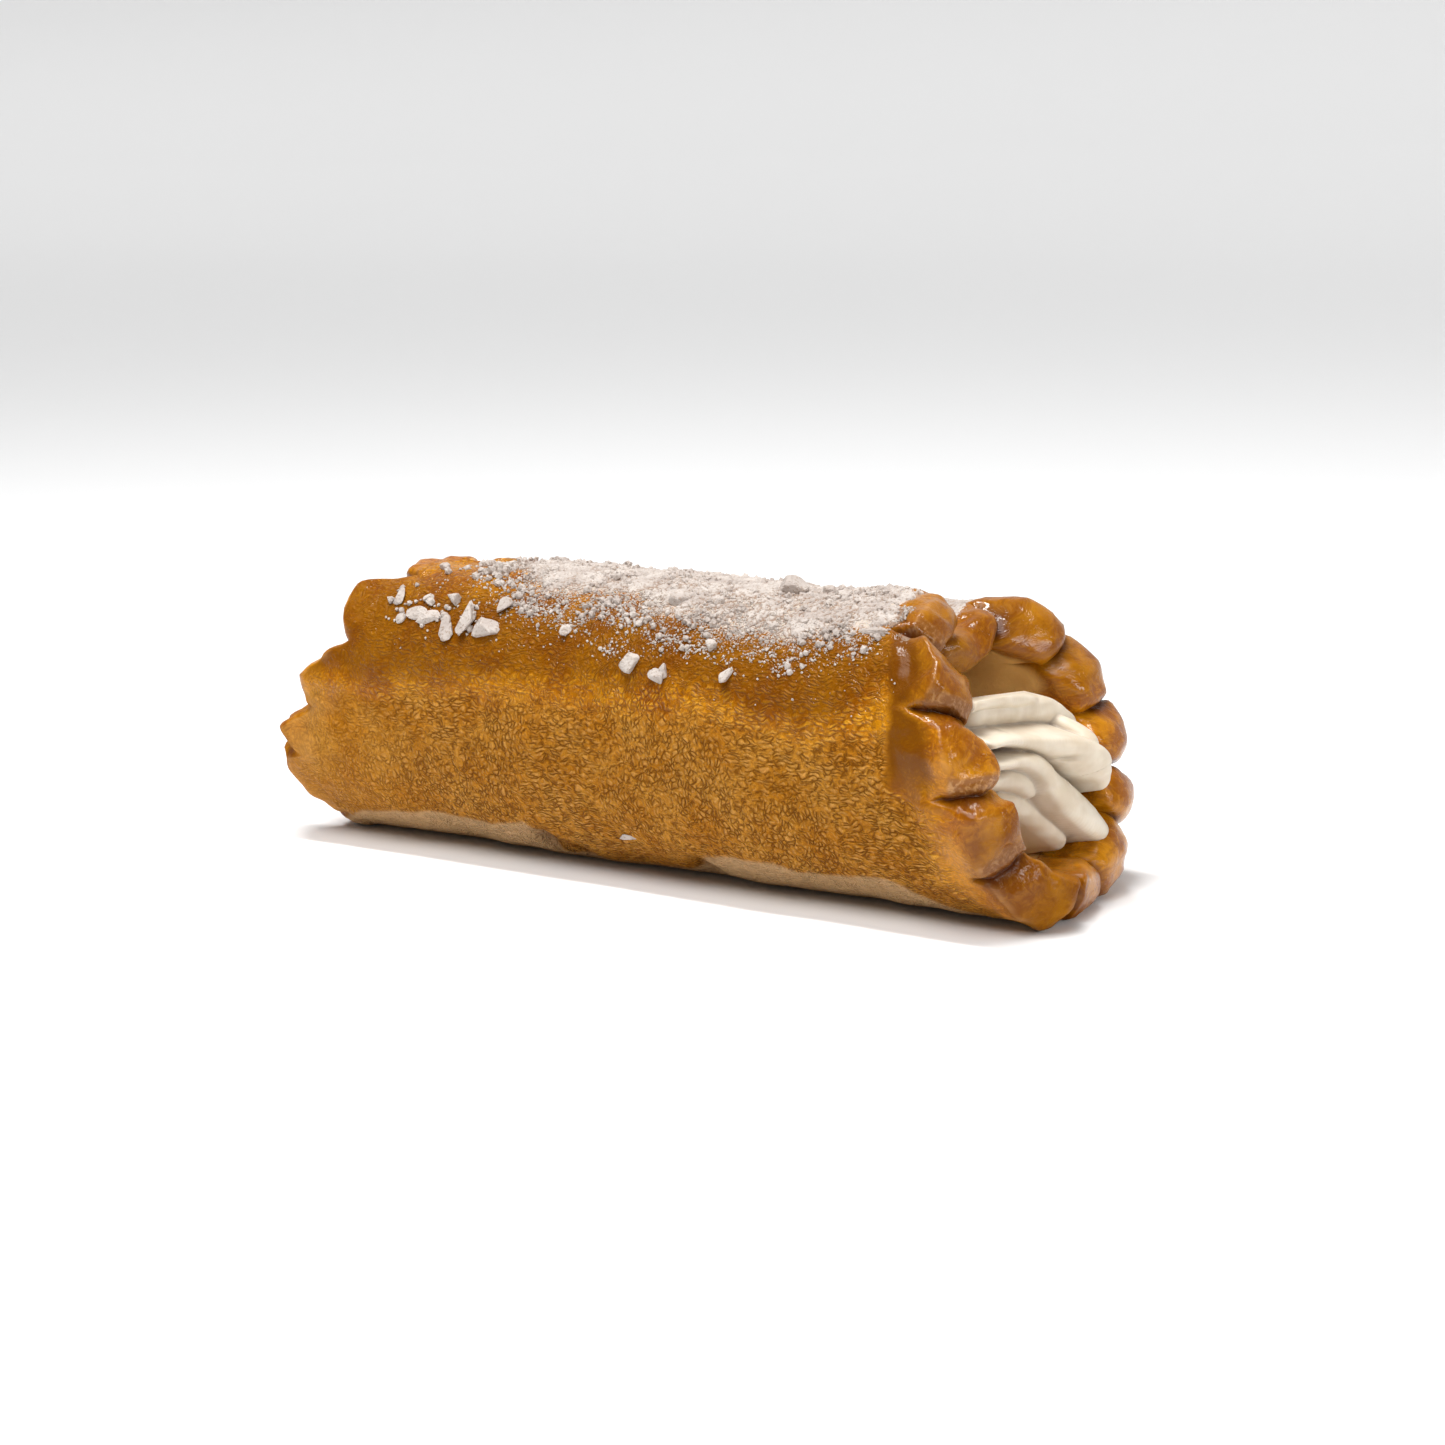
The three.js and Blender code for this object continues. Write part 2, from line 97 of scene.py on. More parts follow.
# The near lobes are blocks with flat ends. Rows are corners of their outline, as (turn, distance).
RIGHT_BLOCKS = np.array([
    (-21, 58.6), (-18, 61.4), (-5, 62.2), (8, 62.4), (11, 59.6), (14, 61.6), (28, 63.0), (38, 62.0),
    (47, 60.2), (51, 59.4), (54, 58.0), (57, 58.6), (70, 58.4), (80, 57.6), (82.5, 56.0), (85, 54.3),
    (87, 54.8), (93, 55.5), (104, 54.5), (111, 53.0), (113.5, 51.4), (116, 49.8), (118.5, 51.2),
    (124, 52.0), (135, 50.4), (141, 47.8), (145, 43.4), (149, 44.6), (160, 44.8), (176, 43.4),
    (183, 40.9), (187, 38.8),
])
LEFT_BLOCKS = np.array([
    (4, 57.2), (8, 59.2), (20, 59.6), (32, 58.4), (36, 56.4), (40, 57.0), (51, 58.6), (62, 60.0),
    (67.5, 60.3), (69.5, 58.2), (71, 57.0), (73, 57.8), (81, 60.1), (83.5, 58.4), (88, 55.2), (91, 53.8),
    (93, 54.3), (98, 54.9), (104, 55.5), (107, 53.9), (114, 50.3), (118, 47.2), (120, 47.8),
    (129, 49.7), (136, 50.5), (142, 50.2), (145.5, 47), (150, 42.4), (153, 43.6), (165, 44.6),
    (178, 43.8), (183, 42), (187, 39.8),
])
RIM_SLANT, FAR_RIM_SLANT = 3.4, 0.8  # how far the inner edge stands past the outer edge
SLANT_LENGTH, UPPER_SLANT, UPPER_LOBES = 3.0, 0.55, (110, 125)  # and its share on the upper lobes
RIM_BULGE, FAR_RIM_BULGE = 1.1, 2.8
RIM_EDGE, FAR_RIM_EDGE, CRISP = 2.9, 2.0, (130, 112)  # exponents, high for a face with crisp edges
CUT_SIDE = 3.0  # width of the unglazed side that a near lobe turns to the cut below it

SEAM_NOTCHES = np.array([-44, -38, -20, -8, 4, 15, 26, 36, 44.0])
SEAM_AT_ENDS, SEAM_CROWN, SEAM_HALF_LENGTH = 0.8, 4.6, 42.0
SEAM_LOBE, SEAM_BULGE = 2.4, 1.8
SEAM_EDGE_THICKNESS = 0.25  # of the last ring at a seam, as a share of the wall
SEAM_SWELL, SEAM_SWELL_MIDDLE, SEAM_SWELL_LENGTH = 0.5, -27.0, 11.0

CREASE_DEPTH, CREASE_WIDTH, CREASE_POWER, CREASE_LENGTH = 1.0, 0.9, 1.4, (0.2, 1.5)
LOBE_PUFF, FAR_LOBE_PUFF = (0.5, 3.2), (1.9, 5.6)  # (height, length along the tube)
INNER_PUFF, INNER_PUFF_LENGTH, INNER_SHAPE, INNER_SUNK = 1.3, 4.5, 1.6, 0.3  # inside, far side
LEFT_FLATNESS, LEFT_HALF, FLAT_TURNS = 0.9, (10, -10), (160, 140)  # less relief on those lobes
FAN, FAN_LENGTH, FAN_STEP, FAN_TURNS = 0.3, 3.0, 0.7, (15, 60)  # a near lobe's lower edge stands out
WAVES = ((11, 0.42), (4.5, 0.16))  # (size, height) of the unevenness of the baked sheet
WOBBLE, WOBBLE_LENGTH = ((3.4, 0.5), (1.5, 0.26)), 9.0  # the same near the ends, in all directions
# Dents along the lower edge, as (x, turn, depth), and how much painted shade darkens them.
BASE_DENTS = ((-15.5, 39, 1.8), (-11, 33, 1.2), (10.5, 34.5, 1.4))
DENT_LENGTH, DENT_TURN, DENT_SHADE = 2.0, 7.0, 0.4

COLUMN_SPACING, FAR_COLUMN_SPACING = 0.34, 0.5
OUTSIDE_PLACES, INSIDE_PLACES, RIM_PLACES = 181, 46, 13
SEAM_STEPS = 5
SKIN_VALUES = ("depth", "x", "turn", "along", "from_left", "from_right", "to_cut", "crease", "nearness")


def ease(value, start, end):
    """Smooth step 3t^2 - 2t^3, from 0 at `start` to 1 at `end`, in either direction."""
    t = np.clip((value - start) / (end - start), 0, 1)
    return t * t * (3 - 2 * t)


def mix(a, b, share):
    """Straight line from a (share 0) to b (share 1)."""
    return a + (b - a) * share


def fade(distance, length, power=2):
    """Bell curve exp(-(distance / length)^power)."""
    return np.exp(-((distance / length) ** power))


def lobe_profile(t, shape):
    """Superellipse (1 - |2t - 1|^shape)^(1/shape): 0 at both notches, 1 in the middle."""
    return np.clip(1 - np.abs(2 * t - 1) ** shape, 0, 1) ** (1 / shape)


def soft_noise(x, y, z, cell, seed):
    """Random numbers from -1 to 1 on the corners of cubes of side `cell`, blended by smooth steps."""
    values = np.random.default_rng(seed).uniform(-1, 1, (32, 32, 32))
    place = np.stack(np.broadcast_arrays(x, y, z), -1) / cell
    low = np.floor(place).astype(int)
    part = ease(place - low, 0, 1)
    total = 0
    for corner in np.ndindex(2, 2, 2):
        weight = np.where(corner, part, 1 - part).prod(-1)
        i, j, k = np.moveaxis((low + corner) % 32, -1, 0)
        total = total + weight * values[i, j, k]
    return total


def oval_radius(turn):
    """Distance from the centre line to a superellipse: (|sin|/a)^p + (|cos|/b)^p = r^-p."""
    across = np.abs(np.sin(np.radians(turn))) / (TUBE_WIDTH / 2)
    down = np.cos(np.radians(turn))
    below = down > 0
    upright = np.abs(down) / (TUBE_HEIGHT / 2 + BASE_SAG * below)
    power = np.where(below, BOXINESS_BELOW, BOXINESS_ABOVE)
    return (across ** power + upright ** power) ** (-1 / power)


def section_point(x, turn, radius):
    """Point at a distance from the centre line, never below the table."""
    y = -radius * np.sin(np.radians(turn))
    z = np.maximum(TUBE_HEIGHT / 2 - radius * np.cos(np.radians(turn)), 0)
    return np.stack(np.broadcast_arrays(x, y, z), -1)


def seam_reach(x):
    """How far past the top the near flap's edge lies: a crown, less the notches between lobes."""
    place = np.clip(x, SEAM_NOTCHES[0], SEAM_NOTCHES[-1] - 1e-6)
    after = np.searchsorted(SEAM_NOTCHES, place, side="right")
    start, end = SEAM_NOTCHES[after - 1], SEAM_NOTCHES[after]
    lobe = lobe_profile((place - start) / (end - start), 2)
    crown = np.maximum(0, 1 - (x / SEAM_HALF_LENGTH) ** 2)
    return SEAM_AT_ENDS + SEAM_CROWN * crown + SEAM_LOBE * (lobe - 1)


def rim(turns, far_lobes, blocks, lobe, t):
    """Turn angle and distance from the middle of a scalloped end: on the far side straight between
    notches, plus the lobe, and on the near side straight between the corners of the blocks."""
    turn = mix(turns[lobe], turns[lobe + 1], t)
    k = np.maximum(lobe - NEAR_LOBES, 0)
    notch, height, shape = far_lobes[k].T
    reach = mix(notch, far_lobes[k + 1, 0], t) + height * lobe_profile(t, shape)
    return turn, np.where(turn < blocks[0, 0], reach, np.interp(turn, *blocks.T))


def sheet(column, share):
    """The rolled sheet at columns, counted in lobes from the near seam to the far seam, and at
    shares of the way from left to right. Turn angles run straight between the ends, and the first
    lobe's bend towards the seam. The outer radius is the oval, plus the layer's lift, lobes, fanned
    steps and unevenness, less creases. The inner one is the oval less the wall. In mm."""
    lobe = np.minimum(column.astype(int), LOBES - 1)
    t = column - lobe
    left_turn, left_reach = rim(LEFT_TURNS, LEFT_FAR_LOBES, LEFT_BLOCKS, lobe, t)
    right_turn, right_reach = rim(RIGHT_TURNS, RIGHT_FAR_LOBES, RIGHT_BLOCKS, lobe, t)
    arc = np.abs(np.diff((LEFT_TURNS + RIGHT_TURNS) / 2))[lobe] * np.radians(TUBE_WIDTH / 2)
    t, lobe, arc, left_turn, left_reach, right_turn, right_reach = (
        value[:, None] for value in (t, lobe, arc, left_turn, left_reach, right_turn, right_reach))
    nearness = ease(right_turn, *NEAR_START) * ease(right_turn, *NEAR_END)
    bulge = mix(FAR_RIM_BULGE, RIM_BULGE, nearness)
    x = mix(bulge - left_reach, right_reach - bulge, share)
    from_left, from_right = x + left_reach - bulge, right_reach - bulge - x
    from_end = np.minimum(from_left, from_right)
    across = mix(left_turn, right_turn, (x + left_reach) / (left_reach + right_reach))
    seam_turn = 180 + np.degrees(np.arctan2(seam_reach(x), TUBE_HEIGHT / 2))
    turn = across + (seam_turn - LEFT_TURNS[0]) * np.where(lobe == 0, 1 - t, 0) ** 2
    along = turn * np.radians(TUBE_WIDTH / 2)

    near_edge, far_edge = lobe == 0, lobe == LOBES - 1
    from_notch = arc * np.where(near_edge, 1 - t, np.where(far_edge, t, np.minimum(t, 1 - t)))
    at_left = ease(x, *LEFT_END)
    layer = mix(LAP_LIFT, LEFT_LIFT, at_left) * ease(turn, *LAPPING)
    for turns in LEFT_LIFTING:
        at_left = at_left * ease(turn, *turns)
    layer = layer + LEFT_LIFT * at_left - TUCK * ease(turn, *TUCKING)
    wall = WALL - (WALL - NEAR_SEAM_WALL) * ease(turn, *NEAR_THINNING)
    wall = wall - (WALL - FAR_SEAM_WALL) * ease(turn, *TUCKING)
    middle = oval_radius(turn) + layer
    swell = SEAM_SWELL * fade(x - SEAM_SWELL_MIDDLE, SEAM_SWELL_LENGTH) * ease(turn, *NEAR_THINNING)
    open_air = 1 - ease(turn, *TUCKED_IN)
    relief = 1 - LEFT_FLATNESS * ease(x, *LEFT_HALF) * nearness * ease(turn, *FLAT_TURNS)
    puff_height, puff_length = (mix(FAR_LOBE_PUFF[k], LOBE_PUFF[k], nearness) for k in (0, 1))
    puff = puff_height * mix(lobe_profile(t, 2), 4 * t * (1 - t), nearness) * relief
    puff = puff * fade(from_end, puff_length)
    crease = fade(from_notch, CREASE_WIDTH, CREASE_POWER) * (1 - ease(from_end, *CREASE_LENGTH))
    crease = crease * relief
    inner_puff = INNER_PUFF * (lobe_profile(t, INNER_SHAPE) - INNER_SUNK) * (1 - nearness)
    inner_puff = inner_puff * fade(from_end, INNER_PUFF_LENGTH) * open_air
    fan = FAN * ease(turn, *FAN_TURNS) * (t - 0.5) * (1 - fade(from_notch, FAN_STEP))
    fan = fan * fade(from_end, FAN_LENGTH) * relief
    waves = sum(height * soft_noise(x, along, 0, size, seed)
                for seed, (size, height) in enumerate(WAVES))
    dents = sum(depth * fade(x - place, DENT_LENGTH) * fade(turn - at, DENT_TURN)
                for place, at, depth in BASE_DENTS)
    outer = middle + swell + open_air * (puff + fan + waves - dents) - CREASE_DEPTH * crease
    # The crease value also carries painted shade: the colour is darkened by it in creases and dents.
    by_column = {"nearness": nearness, "bulge": bulge, "to_cut": arc * (1 - t)}
    return {"x": x, "turn": turn, "along": along, "outer": outer, "inner": middle - wall - inner_puff,
            "from_left": from_left, "from_right": from_right, "crease": crease + DENT_SHADE * dents,
            **{key: value + 0 * x for key, value in by_column.items()}}


def spread(count, evenness):
    """`count` shares from 0 to 1, u - k sin(2 pi u) / 2 pi: closer together near both ends."""
    u = np.linspace(0, 1, count)
    return u - (1 - evenness) * np.sin(2 * np.pi * u) / (2 * np.pi)


def wall_ring(column, past=0.0, thin=1.0):
    """Closed rings round the wall: along the outside, round the right end, back along the inside
    and round the left end. An end is a straight line from the outer to the inner edge, bulged by
    a superellipse. For the rounded edges of the flaps, `past` moves the rings on round the tube
    and `thin` thins them. Returns the points and what the zones need at each."""
    walls = []
    for inside, count, evenness in ((0, OUTSIDE_PLACES, 0.55), (1, INSIDE_PLACES, 0.12)):
        place = sheet(column, spread(count, evenness))
        trim = (place["outer"] - place["inner"]) * (1 - thin) / 2
        radius = place["inner"] + trim if inside else place["outer"] - trim
        x, turn, near = (place[key] for key in ("x", "turn", "nearness"))
        steep = near * mix(1, UPPER_SLANT, ease(turn, *UPPER_LOBES))
        ends = fade(place["from_right"], SLANT_LENGTH, 1) - fade(place["from_left"], SLANT_LENGTH, 1)
        point = section_point(x + inside * thin * mix(FAR_RIM_SLANT, RIM_SLANT, steep) * ends,
                              turn + np.degrees(past / place["outer"]), radius)
        place["depth"] = np.full(x.shape, float(inside))
        values = np.stack([place[key] for key in SKIN_VALUES], -1)
        walls.append(np.concatenate([point, values], -1))
    out, back = walls
    share = (1 - np.cos(np.pi * np.linspace(0, 1, RIM_PLACES + 2)[1:-1])) / 2
    right = mix(out[:, -1:], back[:, -1:], share[:, None])
    left = mix(back[:, :1], out[:, :1], share[:, None])
    edge = mix(FAR_RIM_EDGE, RIM_EDGE, near[:, :1] * ease(turn[:, :1], *CRISP))
    bulge = place["bulge"][:, :1] * thin * lobe_profile(share, edge)
    right[..., 0] += bulge
    left[..., 0] -= bulge
    ring = np.concatenate([out, right, back[:, ::-1], left], 1)
    point, values = ring[..., :3], ring[..., 3:]
    values[..., SKIN_VALUES.index("along")] += past
    from_end = values[..., [SKIN_VALUES.index("from_left"), SKIN_VALUES.index("from_right")]].min(-1)
    for number, (size, height) in enumerate(WOBBLE):
        shift = [soft_noise(*np.moveaxis(point, -1, 0), size, 70 + 3 * number + axis)
                 for axis in range(3)]
        point = point + height * fade(from_end, WOBBLE_LENGTH)[..., None] * np.stack(shift, -1)
    point[..., 2] = np.maximum(point[..., 2], 0)
    return point, values


def put_mesh(name, points, faces, attributes=None, smooth=True):
    """A mesh object from points in mm and attributes with a value a point. Its faces are turned
    outwards, so that the signed volume, the sum of a . (b x c) / 6, is positive."""
    points = points.reshape(-1, 3) * MM
    volume = 0
    for group in faces:
        a, b, c = points[group[:, 0]], points[group[:, 1]], points[group[:, -1]]
        volume += np.einsum("ij,ij->", a, np.cross(b, c))
        if group.shape[1] == 4:
            volume += np.einsum("ij,ij->", b, np.cross(points[group[:, 2]], c))
    turn = slice(None, None, -1 if volume < 0 else 1)
    mesh = bpy.data.meshes.new(name)
    mesh.from_pydata(points, [], [face for group in faces for face in group[:, turn].tolist()])
    for key, values in (attributes or {}).items():
        vector = values.size == points.size
        kind, field = ("FLOAT_VECTOR", "vector") if vector else ("FLOAT", "value")
        layer = mesh.attributes.new(key, kind, "POINT")
        layer.data.foreach_set(field, values.astype(np.float32).ravel())
    if smooth:
        mesh.shade_smooth()
    mesh.update()
    thing = bpy.data.objects.new(name, mesh)
    bpy.context.scene.collection.objects.link(thing)
    return thing


def grid_faces(rows, columns, closed=False, start=0):
    """Quads between neighbours on a grid of points numbered row by row, with its rows closed."""
    row = columns * np.arange(rows - 1)[:, None]
    column = np.arange(columns if closed else columns - 1)
    after = (column + 1) % columns
    corners = (row + column, row + after, row + columns + after, row + columns + column)
    return start + np.stack([corner.ravel() for corner in corners], -1)


def grid_border(rows, columns):
    """Numbers of the points round the border of such a grid."""
    along_row, along_column = np.arange(columns - 1), np.arange(1, rows)
    return np.concatenate([along_row, columns * along_column - 1, rows * columns - 1 - along_row,
                           columns * along_column[::-1]])


def seam_cap(start):
    """Triangles that close one end ring across the wall: four places on the outside to each one
    on the inside, and a fan at each end."""
    outer = start + np.arange(OUTSIDE_PLACES)
    inner = start + OUTSIDE_PLACES + RIM_PLACES + np.arange(INSIDE_PLACES)[::-1]
    right = start + OUTSIDE_PLACES + np.arange(RIM_PLACES)
    left = start + OUTSIDE_PLACES + RIM_PLACES + INSIDE_PLACES + np.arange(RIM_PLACES)
    step = np.arange(INSIDE_PLACES - 1)
    triangles = [np.stack([outer[4 * step + k], outer[4 * step + k + 1], inner[step + (k > 1)]], 1)
                 for k in range(4)]
    triangles.append(np.stack([outer[4 * step + 2], inner[step + 1], inner[step]], 1))
    for hub, edge in ((outer[-1], [*right, inner[-1]]), (outer[0], [inner[0], *left])):
        triangles.append(np.stack([np.full(RIM_PLACES, hub), edge[:-1], edge[1:]], 1))
    return np.concatenate(triangles)


arcs = np.abs(np.diff(RIGHT_TURNS)) * np.radians(TUBE_WIDTH / 2)
columns = np.concatenate(
    [lobe + spread(round(arc / (COLUMN_SPACING if lobe < 5 else FAR_COLUMN_SPACING)) + 1, 0.4)[:-1]
     for lobe, arc in enumerate(arcs)] + [[LOBES]])
bend = np.linspace(0, np.pi / 2, SEAM_STEPS + 1)[1:]
past, thinned = SEAM_BULGE * np.sin(bend), mix(SEAM_EDGE_THICKNESS, 1, np.cos(bend))
rings = [wall_ring(columns[:1], p, thin) for p, thin in zip(past[::-1], thinned[::-1])]
rings.append(wall_ring(columns))
rings += [wall_ring(columns[-1:], -p, thin) for p, thin in zip(past, thinned)]
skin_points, skin_values = (np.concatenate(part) for part in zip(*rings))
ring_count, ring_size = skin_points.shape[:2]

# Powdered sugar, as (x, turn) along the edge of the thick sugar and of the last grains.
SUGAR_EDGE = np.array([
    (-45, 184), (-34, 180), (-28, 172), (-20.5, 157), (-16, 152), (-5, 151), (3.5, 149),
    (11.6, 144), (18, 140), (26, 137), (33, 137), (38.6, 141), (41.3, 146), (43, 159),
])
GRAIN_EDGE = np.array([
    (-45, 160), (-32, 145), (-27, 135), (-20, 129), (-13, 124), (-5, 122), (10, 121), (31, 121),
    (38, 126), (41, 129), (45, 137),
])
SUGAR_LEFT, SUGAR_RIGHT = (-34, -23), (42.5, 39)


def sugar_cover(x, turn, along):
    """How thickly the sugar lies, from 0 to 1: full above the edge of the blanket, less towards
    the edge where grains stop, and none past the ends, with patches of noise."""
    blanket, last = np.interp(x, *SUGAR_EDGE.T), np.interp(x, *GRAIN_EDGE.T)
    patches = 4 * soft_noise(x, along, 0, 4, 31) + 3 * soft_noise(x, along, 0, 1.6, 32)
    height = np.where(turn < 0, -turn + 3, turn) + patches
    thick = ease(height, blanket - 5, blanket + 8)
    thin = ease(height, last - 2, blanket + 2) ** 1.3
    ends = ease(x + patches, *SUGAR_LEFT) * ease(x + 0.4 * patches, *SUGAR_RIGHT)
    return (0.62 * thick + 0.38 * thin) * ends


# Zones of the bake, as (x, turn) along their edges: brown glaze above the first, and a darker
# band in it down to the second. Pale dough that touched the tray shows below the third. Along the
# right rim the glaze ran together to a smooth brown band, whose edge is given as (turn, x).
GLAZE_EDGE = np.array([
    (-64, 92), (-47, 97), (-36, 101), (-7, 102.5), (16, 105), (20, 102.5), (32, 99), (38, 104),
    (46, 103), (64, 103),
])
BROWN_EDGE = np.array([
    (-64, 100), (-36, 104), (-17, 108), (0, 111), (16, 114), (24, 106), (32, 103), (38, 109),
    (44, 121), (64, 121),
])
BARE_EDGE = np.array([
    (-64, 20), (-51, 41), (-42, 48), (-33, 48.5), (-21, 47.5), (-17, 52), (-15, 30), (1, 24),
    (9, 30), (13, 46), (18, 48.5), (25, 49), (28, 46), (36, 45), (42, 48), (44, 46), (52, 30),
    (64, 20),
])
BAND_EDGE = np.array([(79, 52.5), (87, 45.8), (102, 45.5), (117, 45.1), (135, 43.3), (150, 41)])

# Where each zone lies, from 0 to 1.
depth, x, turn, along, from_left, from_right, to_cut, crease, nearness = np.moveaxis(skin_values, -1, 0)
edge_noise = soft_noise(x, along, 0, 3.5, 7) + 0.5 * soft_noise(x, along, 0, 1.2, 8)
height = np.abs(turn)
on_outside = 1 - ease(depth, 0, 0.3)
from_rim = np.minimum(from_left, from_right)
glaze_edge, brown_edge, bare_edge = (
    np.interp(x, *edge.T) + raggedness * edge_noise
    for edge, raggedness in ((GLAZE_EDGE, 2.5), (BROWN_EDGE, 2.0), (BARE_EDGE, 1.2)))
glaze = ease(height, glaze_edge - 5, glaze_edge + 6)
lobes_glazed = (ease(from_right + 1.2 * edge_noise, 9, 5) * ease(turn, 20, 60),
                ease(from_left, 2.5, 1.0) * ease(turn, 95, 120),
                ease(from_rim, 7, 3) * ease(turn, 30, 0))
brown = ease(height, brown_edge - 4, brown_edge + 8) * ease(height, 165, 132)
brown = brown * mix(0.3, 1, ease(from_right, 3, 8))
band_start = np.interp(turn, *BAND_EDGE.T)
band = ease(x + 0.35 * edge_noise, band_start - 0.5, band_start + 0.8) * on_outside
band = band * ease(turn, 79, 85) * ease(turn, 165, 145)
brown_band = band * mix(0.6, 1, ease(turn, 84, 98)) * ease(from_right, 0.5, 3.5)
bare = ease(height, bare_edge + 1.2, bare_edge - 1.2) * (turn > 0)
underside = ease(height, 32, 18)
at_end = ease(depth, 0.0, 0.012) * ease(depth, 1, 0.9)
cut_side = ease(to_cut + 0.3 * edge_noise, CUT_SIDE + 0.2, CUT_SIDE - 0.3)
cut_side = cut_side * nearness * ease(turn, 35, 50) * (x > 0)
# A thin painted highlight along the outer edges of the near lobes, where a rounded edge catches light.
painted_edge_highlight = fade(np.where(depth > 0, WALL * depth, from_rim), 0.22) * nearness
smooth_left = 0.6 * ease(from_left + 2 * edge_noise, 8, 0) * ease(turn, 110, 90)
within_start = mix(4, 0.5, ease(turn, -105, -125))
skin_zones = {
    "sheet": np.stack([x + depth * WALL * np.sign(x), along, WALL * depth], -1),
    "glaze": np.max([glaze, *lobes_glazed], 0),
    "brown": np.clip(0.8 * brown + brown_band, 0, 1),
    "bare": np.clip((bare + 0.75 * underside + 0.25 * smooth_left) * on_outside, 0, 1),
    # painted shade in the creases between lobes and in the dents
    "crease": crease * (1 - ease(depth, 0.6, 1)),
    # The pale unglazed inside, painted lighter than its dough as painted light where the tube shades it.
    "within": ease(from_rim, within_start, within_start + 3) * ease(depth, 0.6, 1),
    "rim": np.max([ease(from_right, 8, 0), ease(from_left, 2.5, 0), band, smooth_left,
                   0.4 * ease(x, -22, -50) * on_outside], 0),
    "face": at_end * (1 - cut_side),
    "cut": at_end * cut_side,
    "dark_end": (x > 0) * np.maximum(
        0.4 * ease(height, 108, 118) * ease(from_right, 8, 3),
        0.55 * ease(turn, 82, 70) * ease(turn, -10, 20) * ease(from_right, 2, 0)),
    # painted highlight along the lobes' outer edges
    "edge": painted_edge_highlight * ease(edge_noise, -0.5, 0.6),
    "dust": sugar_cover(x, turn, along) * on_outside * ease(from_rim, 1, 5),
}


class Nodes:
    """A new material, and short ways to add nodes to it. A value is a number or a socket to link,
    and a colour is (red, green, blue) in sRGB from 0 to 255 or a socket."""

    def __init__(self, name, **values):
        self.material = bpy.data.materials.new(name)
        self.material.use_nodes = True
        self.tree = self.material.node_tree
        self.surface(**values)

    def surface(self, **values):
        """Fill sockets of the shader."""
        self.fill(self.tree.nodes["Principled BSDF"], values)

    def fill(self, node, values):
        """Fill sockets given by number, or by name with _ for a space. Colours are made linear."""
        for key, value in values.items():
            socket = node.inputs[key.replace("_", " ") if isinstance(key, str) else key]
            if isinstance(value, bpy.types.NodeSocket):
                self.tree.links.new(value, socket)
            elif socket.type == "RGBA":
                c = np.array(value) / 255
                linear = np.where(c > 0.04045, ((c + 0.055) / 1.055) ** 2.4, c / 12.92)
                socket.default_value[:3] = linear
            else:
                socket.default_value = value

    def add(self, kind, output, settings, *values, **named):
        """An output of a new node, with its sockets filled in their order or by name."""
        node = self.tree.nodes.new("ShaderNode" + kind)
        for key, value in settings.items():
            setattr(node, key, value)
        self.fill(node, {**dict(enumerate(values)), **named})
        return node.outputs[output]

    def math(self, operation, *values, kind="Math"):
        """Result of a calculation."""
        return self.add(kind, 0, {"operation": operation}, *values)

    def times(self, first, second):
        """Product of two values."""
        return self.math("MULTIPLY", first, second)

    def ramp(self, value, low, high, new_low=0.0, new_high=1.0):
        """Smooth step from low..high to new_low..new_high."""
        settings = {"interpolation_type": "SMOOTHSTEP"}
        return self.add("MapRange", 0, settings, value, low, high, new_low, new_high)

    def blend(self, share, first, second):
        """Mix of two colours, which are the sockets called A and B of type RGBA."""
        node = self.tree.nodes.new("ShaderNodeMix")
        node.data_type = "RGBA"
        self.fill(node, {0: share, 6: first, 7: second})
        return node.outputs[2]

    def noise(self, place, scale, detail, roughness=0.5, output="Fac"):
        """Noise at a place."""
        return self.add("TexNoise", output, {}, Vector=place, Scale=scale, Detail=detail,
                        Roughness=roughness)

    def attribute(self, name, output="Fac"):
        """What the mesh says about a place."""
        return self.add("Attribute", output, {"attribute_name": name})

    def bump(self, height, strength, distance, socket="Normal"):
        """Relief on the surface, or on its coat."""
        relief = self.add("Bump", 0, {}, Height=height, Strength=strength, Distance=distance)
        self.surface(**{socket: relief})


